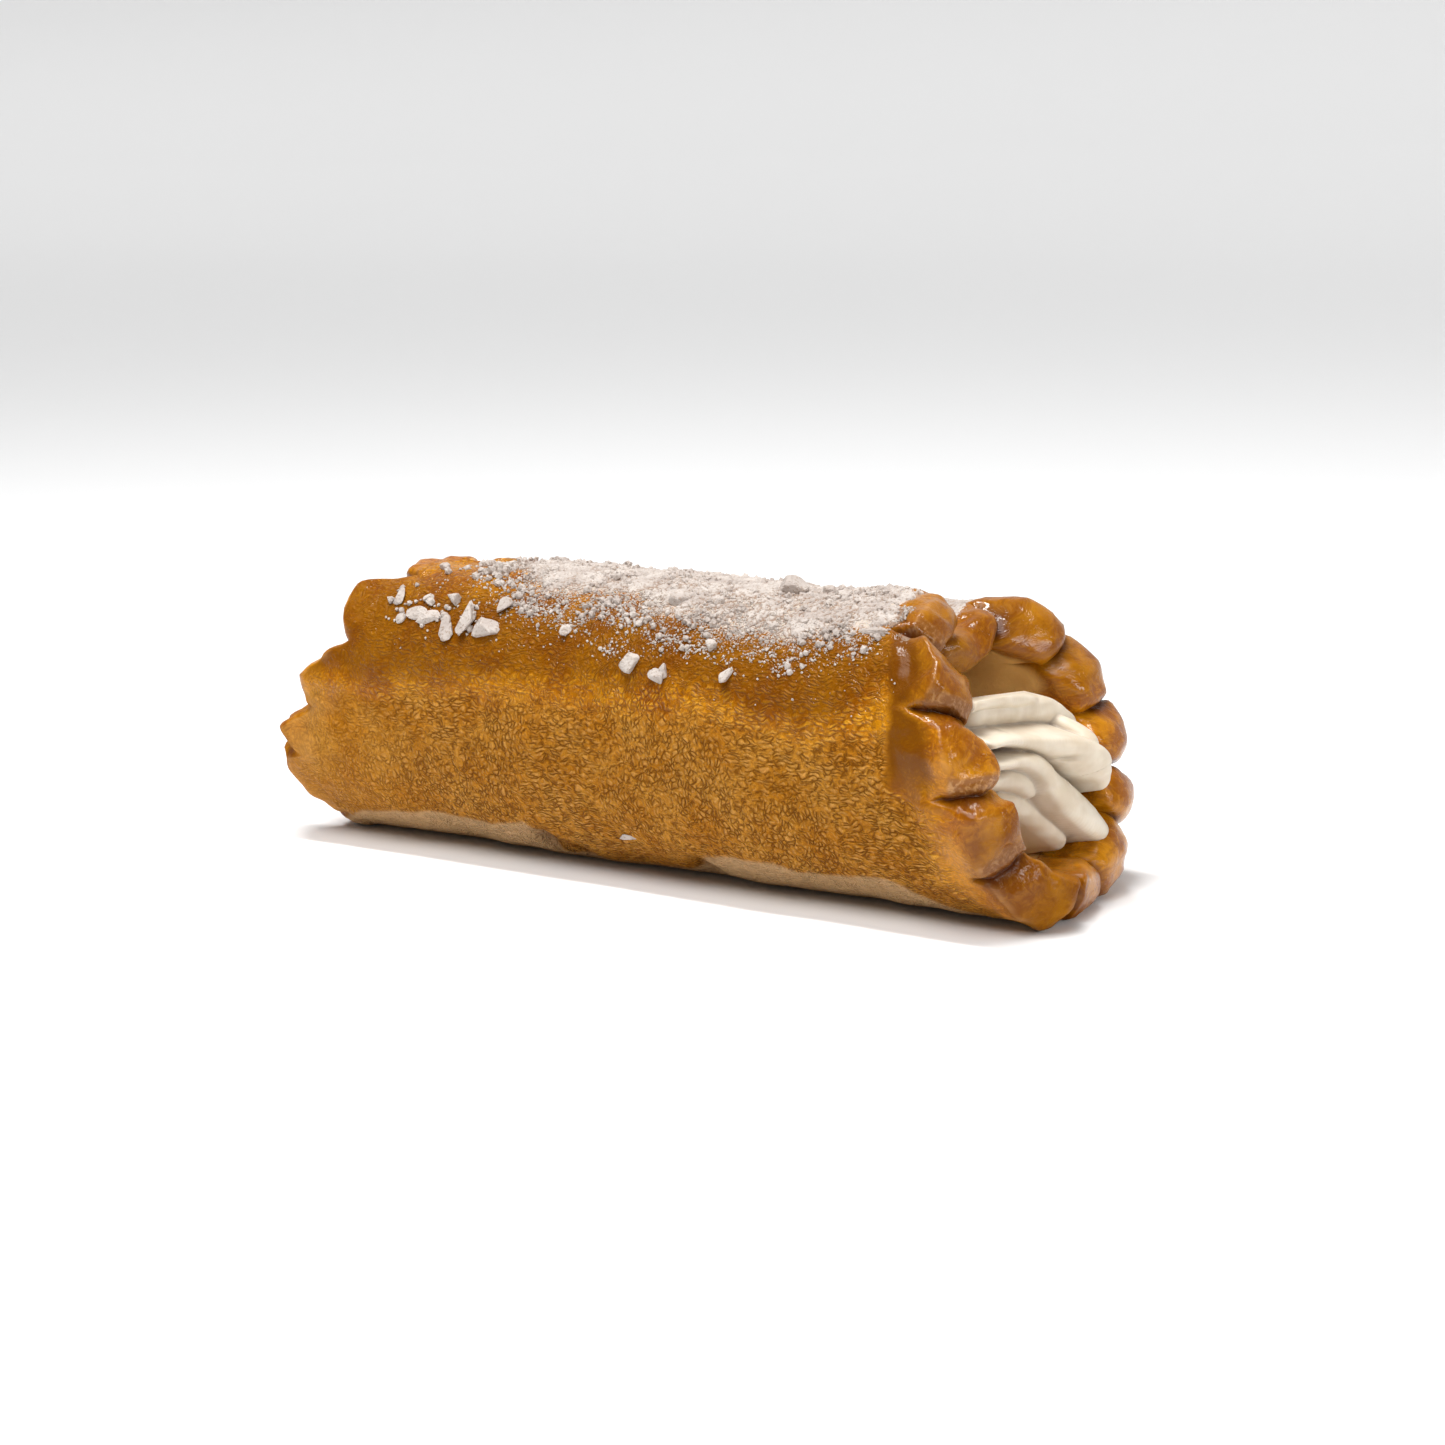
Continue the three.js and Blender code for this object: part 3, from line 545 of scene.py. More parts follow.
def baked_pastry():
    """Glazed baked dough: tan with a fine leathery wrinkle, amber where the glaze lies, brown where
    it ran together, golden flecks on the glossy rim, pale where the tray kept it from browning.
    The wrinkle is a Voronoi web on the unrolled sheet, bent by noise. It is weaker on the rim and
    under the glaze."""
    nodes = Nodes("baked_pastry", Specular_IOR_Level=0.08, Coat_Roughness=0.07, Subsurface_Weight=0.08,
                  Subsurface_Radius=(1.0, 0.45, 0.15), Subsurface_Scale=0.001,
                  Specular_Tint=(255, 224.6, 148.9))
    math, times, ramp, blend, noise = nodes.math, nodes.times, nodes.ramp, nodes.blend, nodes.noise
    glaze, brown, rim_share, within, bare, dust, face, cut, dark_end, edge, crease = map(
        nodes.attribute, "glaze brown rim within bare dust face cut dark_end edge crease".split())
    place = nodes.attribute("sheet", "Vector")
    bent = place
    for scale, reach in ((0.45, 1.8), (2.2, 0.22)):
        warp = noise(place, scale, 1.0, output="Color")
        bent = math("MULTIPLY_ADD", warp, (reach, reach, reach), bent, kind="VectorMath")

    def stretched(scales):
        return nodes.add("Mapping", 0, {}, Vector=bent, Scale=scales)

    def web(stretch):
        """Distance to the nearest edge of a stretched web of cells."""
        return nodes.add("TexVoronoi", "Distance", {"feature": "DISTANCE_TO_EDGE"}, Scale=1.4,
                         Randomness=1.0, Vector=stretched(stretch))

    part = ramp(noise(place, 0.035, 1.0), 0.42, 0.58)
    from_line = blend(part, web((0.42, 1.4, 1.0)), web((1.15, 0.85, 1.0)))
    breaks = ramp(noise(bent, 0.9, 2.0), 0.36, 0.58, 0.15, 1.0)
    grain = noise(bent, 2.6, 4.0, 0.65)
    fine = noise(bent, 1.1, 5.0, 0.6)
    mottle = noise(place, 0.16, 3.0)
    streaks = noise(stretched((0.8, 0.3, 1.5)), 1.0, 5.0)
    powder = noise(place, 3.2, 3.0, 0.7)

    wrinkled = times(math("MULTIPLY_ADD", brown, -0.4, 1.0),
                     ramp(math("MAXIMUM", rim_share, within), 0.0, 0.8, 1.0, 0.1))
    hearts = times(ramp(from_line, 0.1, 0.36), wrinkled)
    lines = times(ramp(from_line, 0.0, 0.2, 1.0, 0.0), breaks)
    lines = times(times(lines, wrinkled), ramp(glaze, 0.0, 1.0, 1.0, 0.65))

    tone = ramp(mottle, 0.35, 0.65)
    tan = blend(times(hearts, 0.48), blend(tone, (184, 118, 26), (200, 138, 49)), (216, 162, 92))
    amber = blend(times(hearts, 0.8), blend(tone, (160, 88, 0), (208, 136, 12)), (230, 164, 44))
    flecks = ramp(fine, 0.44, 0.68)
    golden = blend(ramp(mottle, 0.4, 0.62), (140, 77, 0), (186, 121, 12))
    golden = blend(ramp(streaks, 0.46, 0.72, 0.0, 0.5), golden, (124, 64, 2))
    golden = blend(times(flecks, 0.42), golden, (208, 138, 24))
    dry_dough = blend(flecks, (142, 88, 34), (196, 146, 92))
    glazed_rim = times(rim_share, glaze)
    specks = times(ramp(grain, 0.55, 0.72, 0.0, 0.4), ramp(math("SUBTRACT", glaze, brown), -0.2, 0.6))
    rim_flecks = times(flecks, times(math("MULTIPLY_ADD", brown, -0.35, 0.35), glazed_rim))
    dusted = ramp(math("MULTIPLY_ADD", dust, 0.5, powder), 0.7, 0.78)
    dusted = times(dusted, ramp(dust, 0.0, 0.2))

    # Each colour lies over the ones before it, by its share.
    colour = tan
    for share, over in (
            (glaze, amber), (times(brown, 0.9), (102, 54, 0)), (specks, (222, 150, 26)),
            (ramp(grain, 0.36, 0.66, 0.45, 0.0), (112, 62, 6)), (times(lines, 0.8), (92, 46, 0)),
            (bare, (190, 152, 108)), (rim_flecks, (218, 146, 24)), (face, golden), (cut, dry_dough),
            # painted highlight along the lobes' edges (edge)
            # the inside: pale dough, painted lighter still as painted light where the tube shades it
            # (within)
            (dark_end, (98, 50, 0)), (times(edge, 0.2), (222, 170, 110)), (within, (250, 200, 124)),
            # painted shade, dark in the creases and dents
            (times(crease, 0.95), (70, 22, 2)), (dusted, (200, 186, 174))):
        colour = blend(share, colour, over)

    shine = math("SUBTRACT", glaze, math("MAXIMUM", math("MAXIMUM", bare, within), dusted))
    coat = times(math("MULTIPLY_ADD", glazed_rim, 0.32, 0.25), ramp(shine, 0.0, 1.0))
    coat = times(coat, ramp(brown, 0.0, 1.0, 1.0, 0.5))
    nodes.surface(Base_Color=colour, Coat_Weight=coat, Roughness=ramp(shine, 0.0, 1.0, 0.5, 0.3))

    relief = math("MULTIPLY_ADD", lines, -1.0, hearts)
    uneven = times(fine, rim_share)
    rough = math("MULTIPLY_ADD", uneven, 0.6, math("MULTIPLY_ADD", grain, 0.6, relief))
    nodes.bump(rough, 0.9, 0.0002)
    nodes.bump(math("MULTIPLY_ADD", uneven, 0.9, relief), 0.5, 0.0002, "Coat_Normal")
    return nodes.material


pastry = put_mesh(
    "pastry_sheet", skin_points,
    [grid_faces(ring_count, ring_size, closed=True),
     seam_cap(0), seam_cap((ring_count - 1) * ring_size)[:, ::-1]], skin_zones)
pastry.data.materials.append(baked_pastry())
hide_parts("pastry_crust")
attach(pastry, "root")


# ---- Cream ----
# Whipped cream piped in from both ends. It fills the tube up to a level top, and at each mouth its
# soft folds stand out of the pastry and lie over each other, as they left the nozzle.
CREAM_GAP, CREAM_TOP, CREAM_LEVEL_END = 0.35, 24.5, 33
CREST = np.array([
    (-14, 29.5), (-9, 29.4), (-5, 29.1), (-1, 28.8), (3, 28.2), (7, 26.6), (11, 23.6), (14, 20),
])  # (y, z) along the top of the cream at the right mouth
CREAM_MIDDLE = 16.5
CREAM_CELLS = 160
BODY_REACH, BODY_SLANT, BODY_ROUNDING = 53, 0.45, 9
LEFT_MOUTH_INSET = 1.5
FOLD_BLENDING = 0.07  # mm over which two folds run into each other
# Painted shade in the cream: darker where its surface lies below its blurred surroundings.
VALLEY_BLUR, SHADE_DEPTHS = 5, ((0.08, 0.8), (0.9, 2))  # what lies below its surroundings is dark
CREAM_GRAIN = ((0.12, 0.3, 0.9), (0.06, 1.0, 1.5))  # (height, stretch, size) of unevenness
BODY_RINGS = 12

# Each fold is a rope with rows (x, y, z, radius to the right, radius to the left) along its crest.
FOLDS = (
    ((53.3, -9.5, 27.2, 2.3, 2.0), (53.7, -5.5, 26.9, 2.4, 2.0), (54.3, -0.5, 26.5, 2.4, 2.0),
     (54.8, 5, 25.4, 2.3, 2.0), (55, 9, 23.6, 2.2, 2.0), (54.8, 11, 22, 1.8, 1.8)),
    ((53.6, -13, 28.9, 1.0, 0.9), (54.2, -8.9, 29, 1.0, 0.9), (54.5, -2.3, 28, 1.0, 0.9),
     (54.2, 1.8, 27.2, 0.9, 0.8), (52.6, 5, 26, 0.8, 0.8)),
    ((56.4, -12, 24, 0.5, 1.0), (57, -9.2, 23.9, 0.5, 1.0), (58, -5.2, 23.3, 0.8, 1.0),
     (59.3, -1.2, 22.6, 1.7, 1.1), (60.5, 2.2, 22, 2.8, 1.1), (61.3, 5, 21, 3.8, 1.2),
     (61.5, 7.6, 19.4, 3.4, 1.4), (60.7, 9.5, 17.6, 2.4, 1.6), (59.8, 10.8, 16, 1.8, 1.8)),
    ((54.0, 6.0, 24.4, 0.9, 0.9), (56.4, 6.4, 23.5, 1.2, 1.2), (58.6, 6.8, 22.4, 1.4, 1.4),
     (60.2, 6.9, 21.2, 1.6, 1.6), (60.2, 6.8, 19.8, 1.6, 1.6)),
    ((56.5, -12, 21.4, 0.9, 0.5), (57.2, -10, 21.4, 0.9, 0.5), (57.8, -6.9, 21.2, 1.0, 0.8),
     (58.6, -4.6, 20.3, 1.0, 1.5), (59.1, -3.2, 18.8, 1.0, 2.4), (59.5, -2.3, 17, 1.1, 3.4),
     (60, -0.6, 15, 1.3, 4.0), (60.5, 2.4, 12.8, 1.5, 4.0), (60.6, 6.2, 10.6, 1.6, 3.4),
     (60.2, 9.8, 8.7, 1.3, 2.2)),
    ((55.6, -11.9, 19.2, 1.3, 1.1), (56.3, -8, 18.9, 1.6, 1.2), (56.9, -5.4, 18.2, 1.7, 1.3),
     (57.2, -3.9, 17.1, 1.5, 1.2)),
    ((55.2, -8, 16.2, 1.8, 1.2), (55.8, -5, 15.2, 2.1, 1.3), (56.4, -2.3, 13.9, 2.3, 1.4),
     (57, 0, 12.2, 2.3, 1.4), (57.3, 2, 10.3, 2.0, 1.3), (57.3, 3.6, 8.8, 1.5, 1.2)),
)
# Hollows between folds, as (y, z, length, height, depth).
POCKETS = ((-10.6, 22.7, 2.4, 0.55, 4.0), (-11.5, 25.2, 1.2, 0.5, 2.5), (0.6, 20.4, 1.6, 0.4, 1.2),
           (-10.4, 20.1, 1.3, 0.4, 1.6))
FOLD_REACH, FOLD_SLOPE = 0.93, 4.5  # where a fold's round side turns into a straight slope
FOLD_SAMPLES = 60


def smooth_path(points, count):
    """Catmull-Rom curve through rows of numbers: cubics whose slope at a row is half the step
    between the rows beside it."""
    rows = np.array(points, float)
    rows = np.vstack([2 * rows[0] - rows[1], rows, 2 * rows[-1] - rows[-2]])
    place = np.linspace(0, len(points) - 1, count)
    k = np.minimum(place.astype(int), len(points) - 2)
    u = (place - k)[:, None]
    a, b, c, d = rows[k], rows[k + 1], rows[k + 2], rows[k + 3]
    return 0.5 * (2 * b + (c - a) * u + (2 * a - 5 * b + 4 * c - d) * u ** 2
                  + (3 * b - a - 3 * c + d) * u ** 3)


def cream_reach(y, z, from_middle):
    """How far the cream stands out: a smooth maximum of a low dome and of the folds. From a fold's
    crest the cream falls away as a circle, r - sqrt(r^2 - d^2), out to a share of its radius, and
    goes on as a straight slope. The two sides have radii of their own."""
    reaches = [BODY_REACH + BODY_SLANT * y - BODY_ROUNDING * from_middle ** 2]
    for rope in FOLDS:
        x_crest, y_crest, z_crest, right, left = smooth_path(rope, FOLD_SAMPLES).T
        way = np.stack([np.gradient(y_crest), np.gradient(z_crest)])
        way /= np.linalg.norm(way, axis=0)
        dy, dz = y[..., None] - y_crest, z[..., None] - z_crest
        distance = np.hypot(dy, dz) + 1e-9
        radius = mix(left, right, ease((dy * way[1] - dz * way[0]) / distance, -0.4, 0.4))
        distance /= radius
        near = np.minimum(distance, FOLD_REACH)
        fall = 1 - np.sqrt(1 - near ** 2) + FOLD_SLOPE * (distance - near)
        reaches.append((x_crest - radius * fall).max(-1))
    reaches = np.stack(reaches)
    furthest = reaches.max(0)
    return furthest + FOLD_BLENDING * np.log(np.exp((reaches - furthest) / FOLD_BLENDING).sum(0))


def cream_place(across, up, side):
    """Square grid rounded to a disc, x sqrt(1 - y^2 / 2), which is stretched to the inside of the
    pastry and cut along the crest, or at a level top for side 0."""
    sideways, upright = across * np.sqrt(1 - up ** 2 / 2), up * np.sqrt(1 - across ** 2 / 2)
    turn = np.degrees(np.arctan2(-sideways, -upright))
    from_middle = np.minimum(1, np.hypot(sideways, upright))
    edge = section_point(0, turn, oval_radius(turn) - WALL - CREAM_GAP)
    y = edge[..., 1] * from_middle
    top = np.interp(side * edge[..., 1], *CREST.T) if side else CREAM_TOP
    z = mix(CREAM_MIDDLE, np.minimum(edge[..., 2], top), from_middle)
    return y, z, from_middle


lines = CREAM_CELLS + 1
up, across = np.meshgrid(*[np.linspace(-1, 1, lines)] * 2, indexing="ij")
mouths, crevice_shades = [], []
for side, inset in ((-1, LEFT_MOUTH_INSET), (1, 0)):
    y, z, from_middle = cream_place(across, up, side)
    reach = cream_reach(side * y, z, from_middle) - inset
    for y_pocket, z_pocket, long, high, deep in POCKETS:
        reach -= deep * fade(side * y - y_pocket, long) * fade(z - z_pocket, high)
    # Painted shade: how far the cream lies below its blurred surroundings, deepest between folds.
    blurred = reach
    for axis in (0, 1):
        steps = range(-VALLEY_BLUR, VALLEY_BLUR + 1)
        blurred = sum(np.roll(blurred, step, axis) for step in steps) / len(steps)
    crevice_shade = sum(0.5 * ease(blurred - reach, *depths) for depths in SHADE_DEPTHS)
    crevice_shades.append(crevice_shade * ease(from_middle, 1, 0.9))
    reach += sum(height * soft_noise(side * y * stretch, z, 0, size, 21 + k)
                 for k, (height, stretch, size) in enumerate(CREAM_GRAIN))
    mouths.append(np.stack([side * reach, y, z], -1))
border = grid_border(lines, lines)
border_across, border_up = across.ravel()[border], up.ravel()[border]
level_y, level_z, _ = cream_place(border_across, border_up, 0)
body = np.stack([np.stack([np.full(level_y.shape, place), level_y, level_z], -1)
                 for place in np.linspace(-CREAM_LEVEL_END, CREAM_LEVEL_END, BODY_RINGS)])
size = len(border)
start = 2 * lines ** 2
sides = [grid_faces(BODY_RINGS, size, closed=True, start=start)]
for mouth, ring in ((0, 0), (1, BODY_RINGS - 1)):
    inner_ring, outer_ring = start + ring * size + np.arange(size), mouth * lines ** 2 + border
    quad = [outer_ring, np.roll(outer_ring, -1), np.roll(inner_ring, -1), inner_ring]
    sides.append(np.stack(quad if mouth == 0 else quad[::-1], -1))
fronts = [grid_faces(lines, lines)[:, ::-1], grid_faces(lines, lines, start=lines ** 2)]


def whipped_cream():
    """Off-white cream: light passes a little way into it, its surface has a satin sheen and tiny
    bubbles, and painted shade makes it brown deep between its folds."""
    nodes = Nodes("whipped_cream", Roughness=0.42, Subsurface_Weight=0.2, Subsurface_Scale=0.001,
                  Subsurface_Radius=(1.0, 0.7, 0.45))
    place = nodes.add("TexCoord", "Object", {})
    tone = nodes.ramp(nodes.noise(place, 260.0, 3.0), 0.3, 0.7)
    colour = nodes.blend(tone, (202, 186, 163), (218, 206, 187))
    # painted shade, brown deep between the folds
    colour = nodes.blend(nodes.times(nodes.attribute("crevice_shade"), 0.75), colour, (84, 46, 14))
    nodes.surface(Base_Color=colour)
    nodes.bump(nodes.noise(place, 1900.0, 3.0), 0.25, 0.00006)
    return nodes.material


cream_points = np.concatenate([*[mouth.reshape(-1, 3) for mouth in mouths], body.reshape(-1, 3)])
crevice_shades = np.concatenate([*[crevice_shade.ravel() for crevice_shade in crevice_shades], np.zeros(body[..., 0].size)])
cream = put_mesh("cream", cream_points, [*fronts, *sides], {"crevice_shade": crevice_shades})
cream.data.materials.append(whipped_cream())
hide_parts("cream_filling")
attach(cream, "root")


# ---- Powdered sugar ----
# Sieved over the finished pastry: it lies thickly along the top of the near flap and on the far
# flap, breaks up into clumps and grains down the near shoulder, and has lumps in it.
def dry_sugar():
    """White sugar with a chalky surface, speckled, and browner where it lies so thinly that the
    glaze shows through (attribute `thin`, which loose grains and lumps don't have)."""
    nodes = Nodes("dry_sugar", Roughness=0.85, Subsurface_Weight=0.1, Subsurface_Scale=0.0004,
                  Subsurface_Radius=(1.0, 0.9, 0.8))
    place = nodes.add("TexCoord", "Object", {})
    tone = nodes.ramp(nodes.noise(place, 300.0, 2.0), 0.35, 0.65)
    specks = nodes.noise(place, 2600.0, 2.0)
    colour = nodes.blend(tone, (178, 166, 158), (197, 187, 179))
    colour = nodes.blend(nodes.ramp(specks, 0.54, 0.66, 0.0, 0.5), colour, (136, 110, 86))
    nodes.surface(Base_Color=nodes.blend(nodes.attribute("thin"), colour, (128, 92, 60)))
    nodes.bump(specks, 0.8, 0.0002)
    return nodes.material


COVER_HEIGHT, COVER_THRESHOLD, BLANKET_SINK, BLANKET_TOP = 0.62, 0.74, 0.3, 0.5
SWELLS = ((0.16, 4.0, 44), (0.1, 1.7, 41))  # (height, size, seed)
BLANKET_PEBBLES = ((0.3, 0.85, 42), (0.36, 0.42, 43))  # the same
PEBBLE_BEND = 0.3  # how far noise moves the grid of pebbles


def pebbles(x, y, cell, seed):
    """Round grains, one in each square cell, with random places, radii R and heights h: the
    highest h sqrt(1 - (d / R)^2) of the nine cells round a place."""
    dice = np.random.default_rng(seed).uniform(0, 1, (4, 64, 64))
    column, row = np.floor(x / cell).astype(int), np.floor(y / cell).astype(int)
    top = np.zeros(x.shape)
    for step in np.ndindex(3, 3):
        i, j = column + step[0] - 1, row + step[1] - 1
        across, up, wide, high = dice[:, i % 64, j % 64]
        distance = np.hypot(x / cell - i - across, y / cell - j - up) / (0.45 + 0.45 * wide)
        top = np.maximum(top, (0.45 + 0.55 * high) * np.sqrt(np.clip(1 - distance ** 2, 0, 1)))
    return top


def sugar_blanket(name, columns, shares):
    """A closed sheet of powder over some columns and shares of the pastry, raised by the cover less
    a threshold and by large and small grains. It dives under the pastry where the cover is thin."""
    place = sheet(np.linspace(*columns), np.linspace(*shares))
    x, turn, along, outer = (place[key] for key in ("x", "turn", "along", "outer"))
    rows, places = x.shape
    bend = [PEBBLE_BEND * soft_noise(x, along, 0, 0.8, seed) for seed in (45, 46)]
    rise = COVER_HEIGHT * sugar_cover(x, turn, along) - COVER_THRESHOLD
    rise = rise + sum(height * soft_noise(x, along, 0, size, seed) for height, size, seed in SWELLS)
    for height, size, seed in BLANKET_PEBBLES:
        rise = rise + height * pebbles(x + bend[0], along + bend[1], size, seed)
    rise = np.clip(rise, -BLANKET_SINK, BLANKET_TOP)
    thin = np.concatenate([0.8 * ease(rise, 0.22, 0.02).ravel(), np.ones(rise.size)])
    top, bottom = (section_point(x, turn, outer + out) for out in (rise, -1.5 * BLANKET_SINK))
    faces = [grid_faces(rows, places), grid_faces(rows, places, start=rows * places)[:, ::-1]]
    around = grid_border(rows, places)
    below = around + rows * places
    faces.append(np.stack([np.roll(around, -1), around, below, np.roll(below, -1)], -1))
    points = np.concatenate([top.reshape(-1, 3), bottom.reshape(-1, 3)])
    return put_mesh(name, points, faces, {"thin": thin})


sugar = dry_sugar()
for name, column_range, share_range in (
        ("sugar_blanket_left", (0.0, 1.4, 150), (0.1, 0.55, 325)),
        ("sugar_blanket_right", (0.0, 1.4, 150), (0.55, 0.98, 325)),
        ("sugar_blanket_far", (10.3, 11.35, 70), (0.1, 0.97, 400))):
    blanket = sugar_blanket(name, column_range, share_range)
    blanket.data.materials.append(sugar)
    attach(blanket, "root")

OCTAHEDRON = np.concatenate([np.eye(3), -np.eye(3)])[[0, 3, 1, 4, 2, 5]]
OCTAHEDRON_FACES = np.array([(0, 2, 4), (2, 1, 4), (1, 3, 4), (3, 0, 4),
                             (2, 0, 5), (1, 2, 5), (3, 1, 5), (0, 3, 5)])
CHIP_ROUGHNESS = 0.3


def scattered(name, shape, faces, places, sizes, stands_out, rng):
    """Copies of a small shape on the outside of the pastry: each point of each copy is moved by a
    random share of its size, and each copy is turned by a random rotation (the orthogonal part of
    a random matrix) and stands out by a share of its size."""
    count = len(sizes)
    spins = np.linalg.qr(rng.normal(size=(count, 3, 3)))[0]
    spins *= np.sign(np.linalg.det(spins))[:, None, None]
    grown = shape * (1 + CHIP_ROUGHNESS * rng.uniform(-1, 1, (count, len(shape), 1)))
    points = np.einsum("npi,nij->npj", grown, spins) * sizes[:, None, None] / 2
    x, turn, _, outer, _ = places
    points += section_point(x, turn, outer + stands_out * sizes)[:, None, :]
    faces = faces[None] + len(shape) * np.arange(count)[:, None, None]
    return put_mesh(name, points, [faces.reshape(-1, 3)], smooth=False)


SCATTER_SHARES, SCATTER_GRID, SCATTER_JITTER = (0.08, 0.985), (160, 240), 0.25


def random_places(count, rng, last):
    """Random places on the outside between the near seam and a column, as rows of x, turn, length
    round the tube, outer radius and sugar cover. They are read from a grid, and moved a little."""
    start, end = SCATTER_SHARES
    column = np.sort(rng.uniform(0, last, count))
    share = rng.uniform(start, end, count)
    columns, shares = SCATTER_GRID
    grid = sheet(np.linspace(0, last, columns), np.linspace(start, end, shares))
    i = (column / last * (columns - 1)).astype(int)
    j = ((share - start) / (end - start) * (shares - 1)).astype(int)
    x, along, outer = (grid[key][i, j] for key in ("x", "along", "outer"))
    jitter = rng.uniform(-SCATTER_JITTER, SCATTER_JITTER, (2, count))
    x, along = x + jitter[0], along + jitter[1]
    turn = along / np.radians(TUBE_WIDTH / 2)
    return np.stack([x, turn, along, outer, sugar_cover(x, turn, along)])


GRAIN_TRIES, GRAINS, LEAST_GRAIN, GRAIN_RANGE = 150000, 24000, 0.14, 0.34
rng = np.random.default_rng(5)
places = random_places(GRAIN_TRIES, rng, 2.2)
x, turn, along, _, cover = places
clumping = ease(soft_noise(x, along, 0, 1.1, 51), -0.3, 0.6)
stray = 0.003 * ease(turn, 100, 135) * ease(x, -60, -20)
chance = np.clip(2.2 * cover, 0, 0.3) * mix(0.2, 1, clumping) + stray
places = places[:, rng.uniform(0, 1, GRAIN_TRIES) < chance]
places = places[:, rng.permutation(places.shape[1]) < GRAINS]
sizes = LEAST_GRAIN + GRAIN_RANGE * rng.uniform(0, 1, places.shape[1]) ** 3
grains = scattered("sugar_grains", OCTAHEDRON, OCTAHEDRON_FACES, places, sizes, 0.15, rng)
grains.data.materials.append(sugar)
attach(grains, "root")


# Crumbs of caked sugar lie among the grains, most of them on the near shoulder and at its left end.
# A crumb is a rough icosahedron: two rings of five points and two poles.
angles = np.arange(5) * 2 * np.pi / 5
ring_low = np.stack([np.cos(angles), np.sin(angles), np.full(5, -0.45)], -1)
CRUMB = np.concatenate([ring_low, -ring_low, [(0, 0, 1.1), (0, 0, -1.1)]]) * 0.9
k = np.arange(5)
far_side = (k + 3) % 5 + 5
CRUMB_FACES = np.concatenate([np.stack(rows, -1) for rows in (
    (k, (k + 1) % 5, far_side), ((k + 1) % 5, (k + 4) % 5 + 5, far_side),
    ((k + 3) % 5 + 5, (k + 4) % 5 + 5, np.full(5, 10)), ((k + 1) % 5, k, np.full(5, 11)))])
CRUMB_TRIES, LEAST_CRUMB, CRUMB_RANGE, LEFT_CRUMB_RANGE = 26000, 0.36, 0.85, 1.3
places = random_places(CRUMB_TRIES, rng, 2.1)
x, turn, along, _, cover = places
groups = ease(soft_noise(x, along, 0, 2.4, 55), -0.2, 0.6)
left_shoulder = ease(x, -20, -27) * ease(x, -46, -42) * ease(turn, 122, 130)
chance = (0.26 * ease(cover, 0.01, 0.2) + 0.12 * left_shoulder) * mix(0.1, 1, groups)
places = places[:, rng.uniform(0, 1, CRUMB_TRIES) < chance]
x, turn, *_ = places
at_left = ease(x, -22, -30) * ease(turn, 130, 140) * ease(turn, 170, 162)
sizes = mix(CRUMB_RANGE, LEFT_CRUMB_RANGE, at_left) * rng.uniform(0, 1, len(x)) ** 3.6 + LEAST_CRUMB
crumbs = scattered("sugar_crumbs", CRUMB, CRUMB_FACES, places, sizes, 0.2, rng)
crumbs.data.materials.append(sugar)
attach(crumbs, "root")


# ---- Sugar lumps ----
# Sugar that stayed clotted in the sieve: angular lumps of 2 to 5 mm lying on the near flap, most
# of them on its left shoulder and along its lower edge. Those on the top are rounder.
# Rows are (x, turn, length, breadth, height).
LUMPS = (
    (-25.8, 129, 2.6, 4.2, 1.8), (-22, 128, 2.9, 3.4, 1.8), (-33.2, 130, 2.7, 1.7, 1.1),
    (-35.6, 132, 2.5, 1.6, 1.0), (-40.1, 137, 1.3, 2.1, 1.0), (-38.4, 129, 1.4, 1.2, 0.8),
    (-34.9, 138, 1.4, 1.7, 1.0), (-30, 139, 2.1, 1.8, 1.3), (-20.8, 137, 1.9, 1.9, 1.3),
    (-28.4, 125, 1.7, 2.0, 0.9), (-29.7, 127, 1.1, 2.2, 0.8), (4.1, 122, 2.2, 2.4, 1.6),
    (8.9, 117, 1.9, 1.8, 1.2), (9.9, 118, 1.0, 1.9, 0.9), (16, 130, 1.9, 1.6, 1.0),
    (20.2, 120, 1.3, 2.1, 1.0), (6.6, 150, 2.9, 2.4, 1.6), (19.3, 172, 4.0, 3.4, 2.6),
    (24.3, 176, 2.0, 1.6, 1.3), (-8.9, 130, 1.6, 1.5, 1.2), (38.8, 142, 3.0, 1.0, 0.8),
    (29, 166, 2.0, 1.8, 1.2), (-37.5, 158, 1.5, 1.3, 1.0), (0.8, 51, 2.2, 0.9, 0.35),
)
LUMP_SCALE, LUMP_FACETS, LUMP_CUTS = 0.66, 8, (0.4, 0.8)
ROUND_ABOVE, ROUND_SCALE, ROUNDING = 145, 0.46, 0.4
LUMP_SINK = 0.28  # how far a lump's middle stands out, as a share of its height


def plain_radius(x, turn):
    """Outer radius of the sheet at a place, read from the nearest point of its skin."""
    _, skin_x, skin_turn, *_ = np.moveaxis(skin_values[:, :OUTSIDE_PLACES], -1, 0)
    gap = (skin_x - x) ** 2 + ((skin_turn - turn) * np.radians(TUBE_WIDTH / 2)) ** 2
    point = skin_points[:, :OUTSIDE_PLACES].reshape(-1, 3)[gap.argmin()]
    return np.hypot(point[1], point[2] - TUBE_HEIGHT / 2)


def lump_ball(rows=18, columns=24):
    """Points of a ball, its quads, and its triangles round the two poles."""
    down, round_ = np.meshgrid(np.linspace(0, np.pi, rows)[1:-1],
                               np.linspace(0, 2 * np.pi, columns, endpoint=False), indexing="ij")
    ball = np.stack([np.sin(down) * np.cos(round_), np.sin(down) * np.sin(round_), np.cos(down)], -1)
    points = np.concatenate([ball.reshape(-1, 3), [(0, 0, 1.0), (0, 0, -1.0)]])
    turns = np.arange(columns)
    after, low = (turns + 1) % columns, (rows - 3) * columns
    top = np.stack([np.full(columns, len(points) - 2), turns, after], -1)
    bottom = np.stack([np.full(columns, len(points) - 1), low + after, low + turns], -1)
    return points, grid_faces(rows - 2, columns, closed=True)[:, ::-1], np.concatenate([top, bottom])


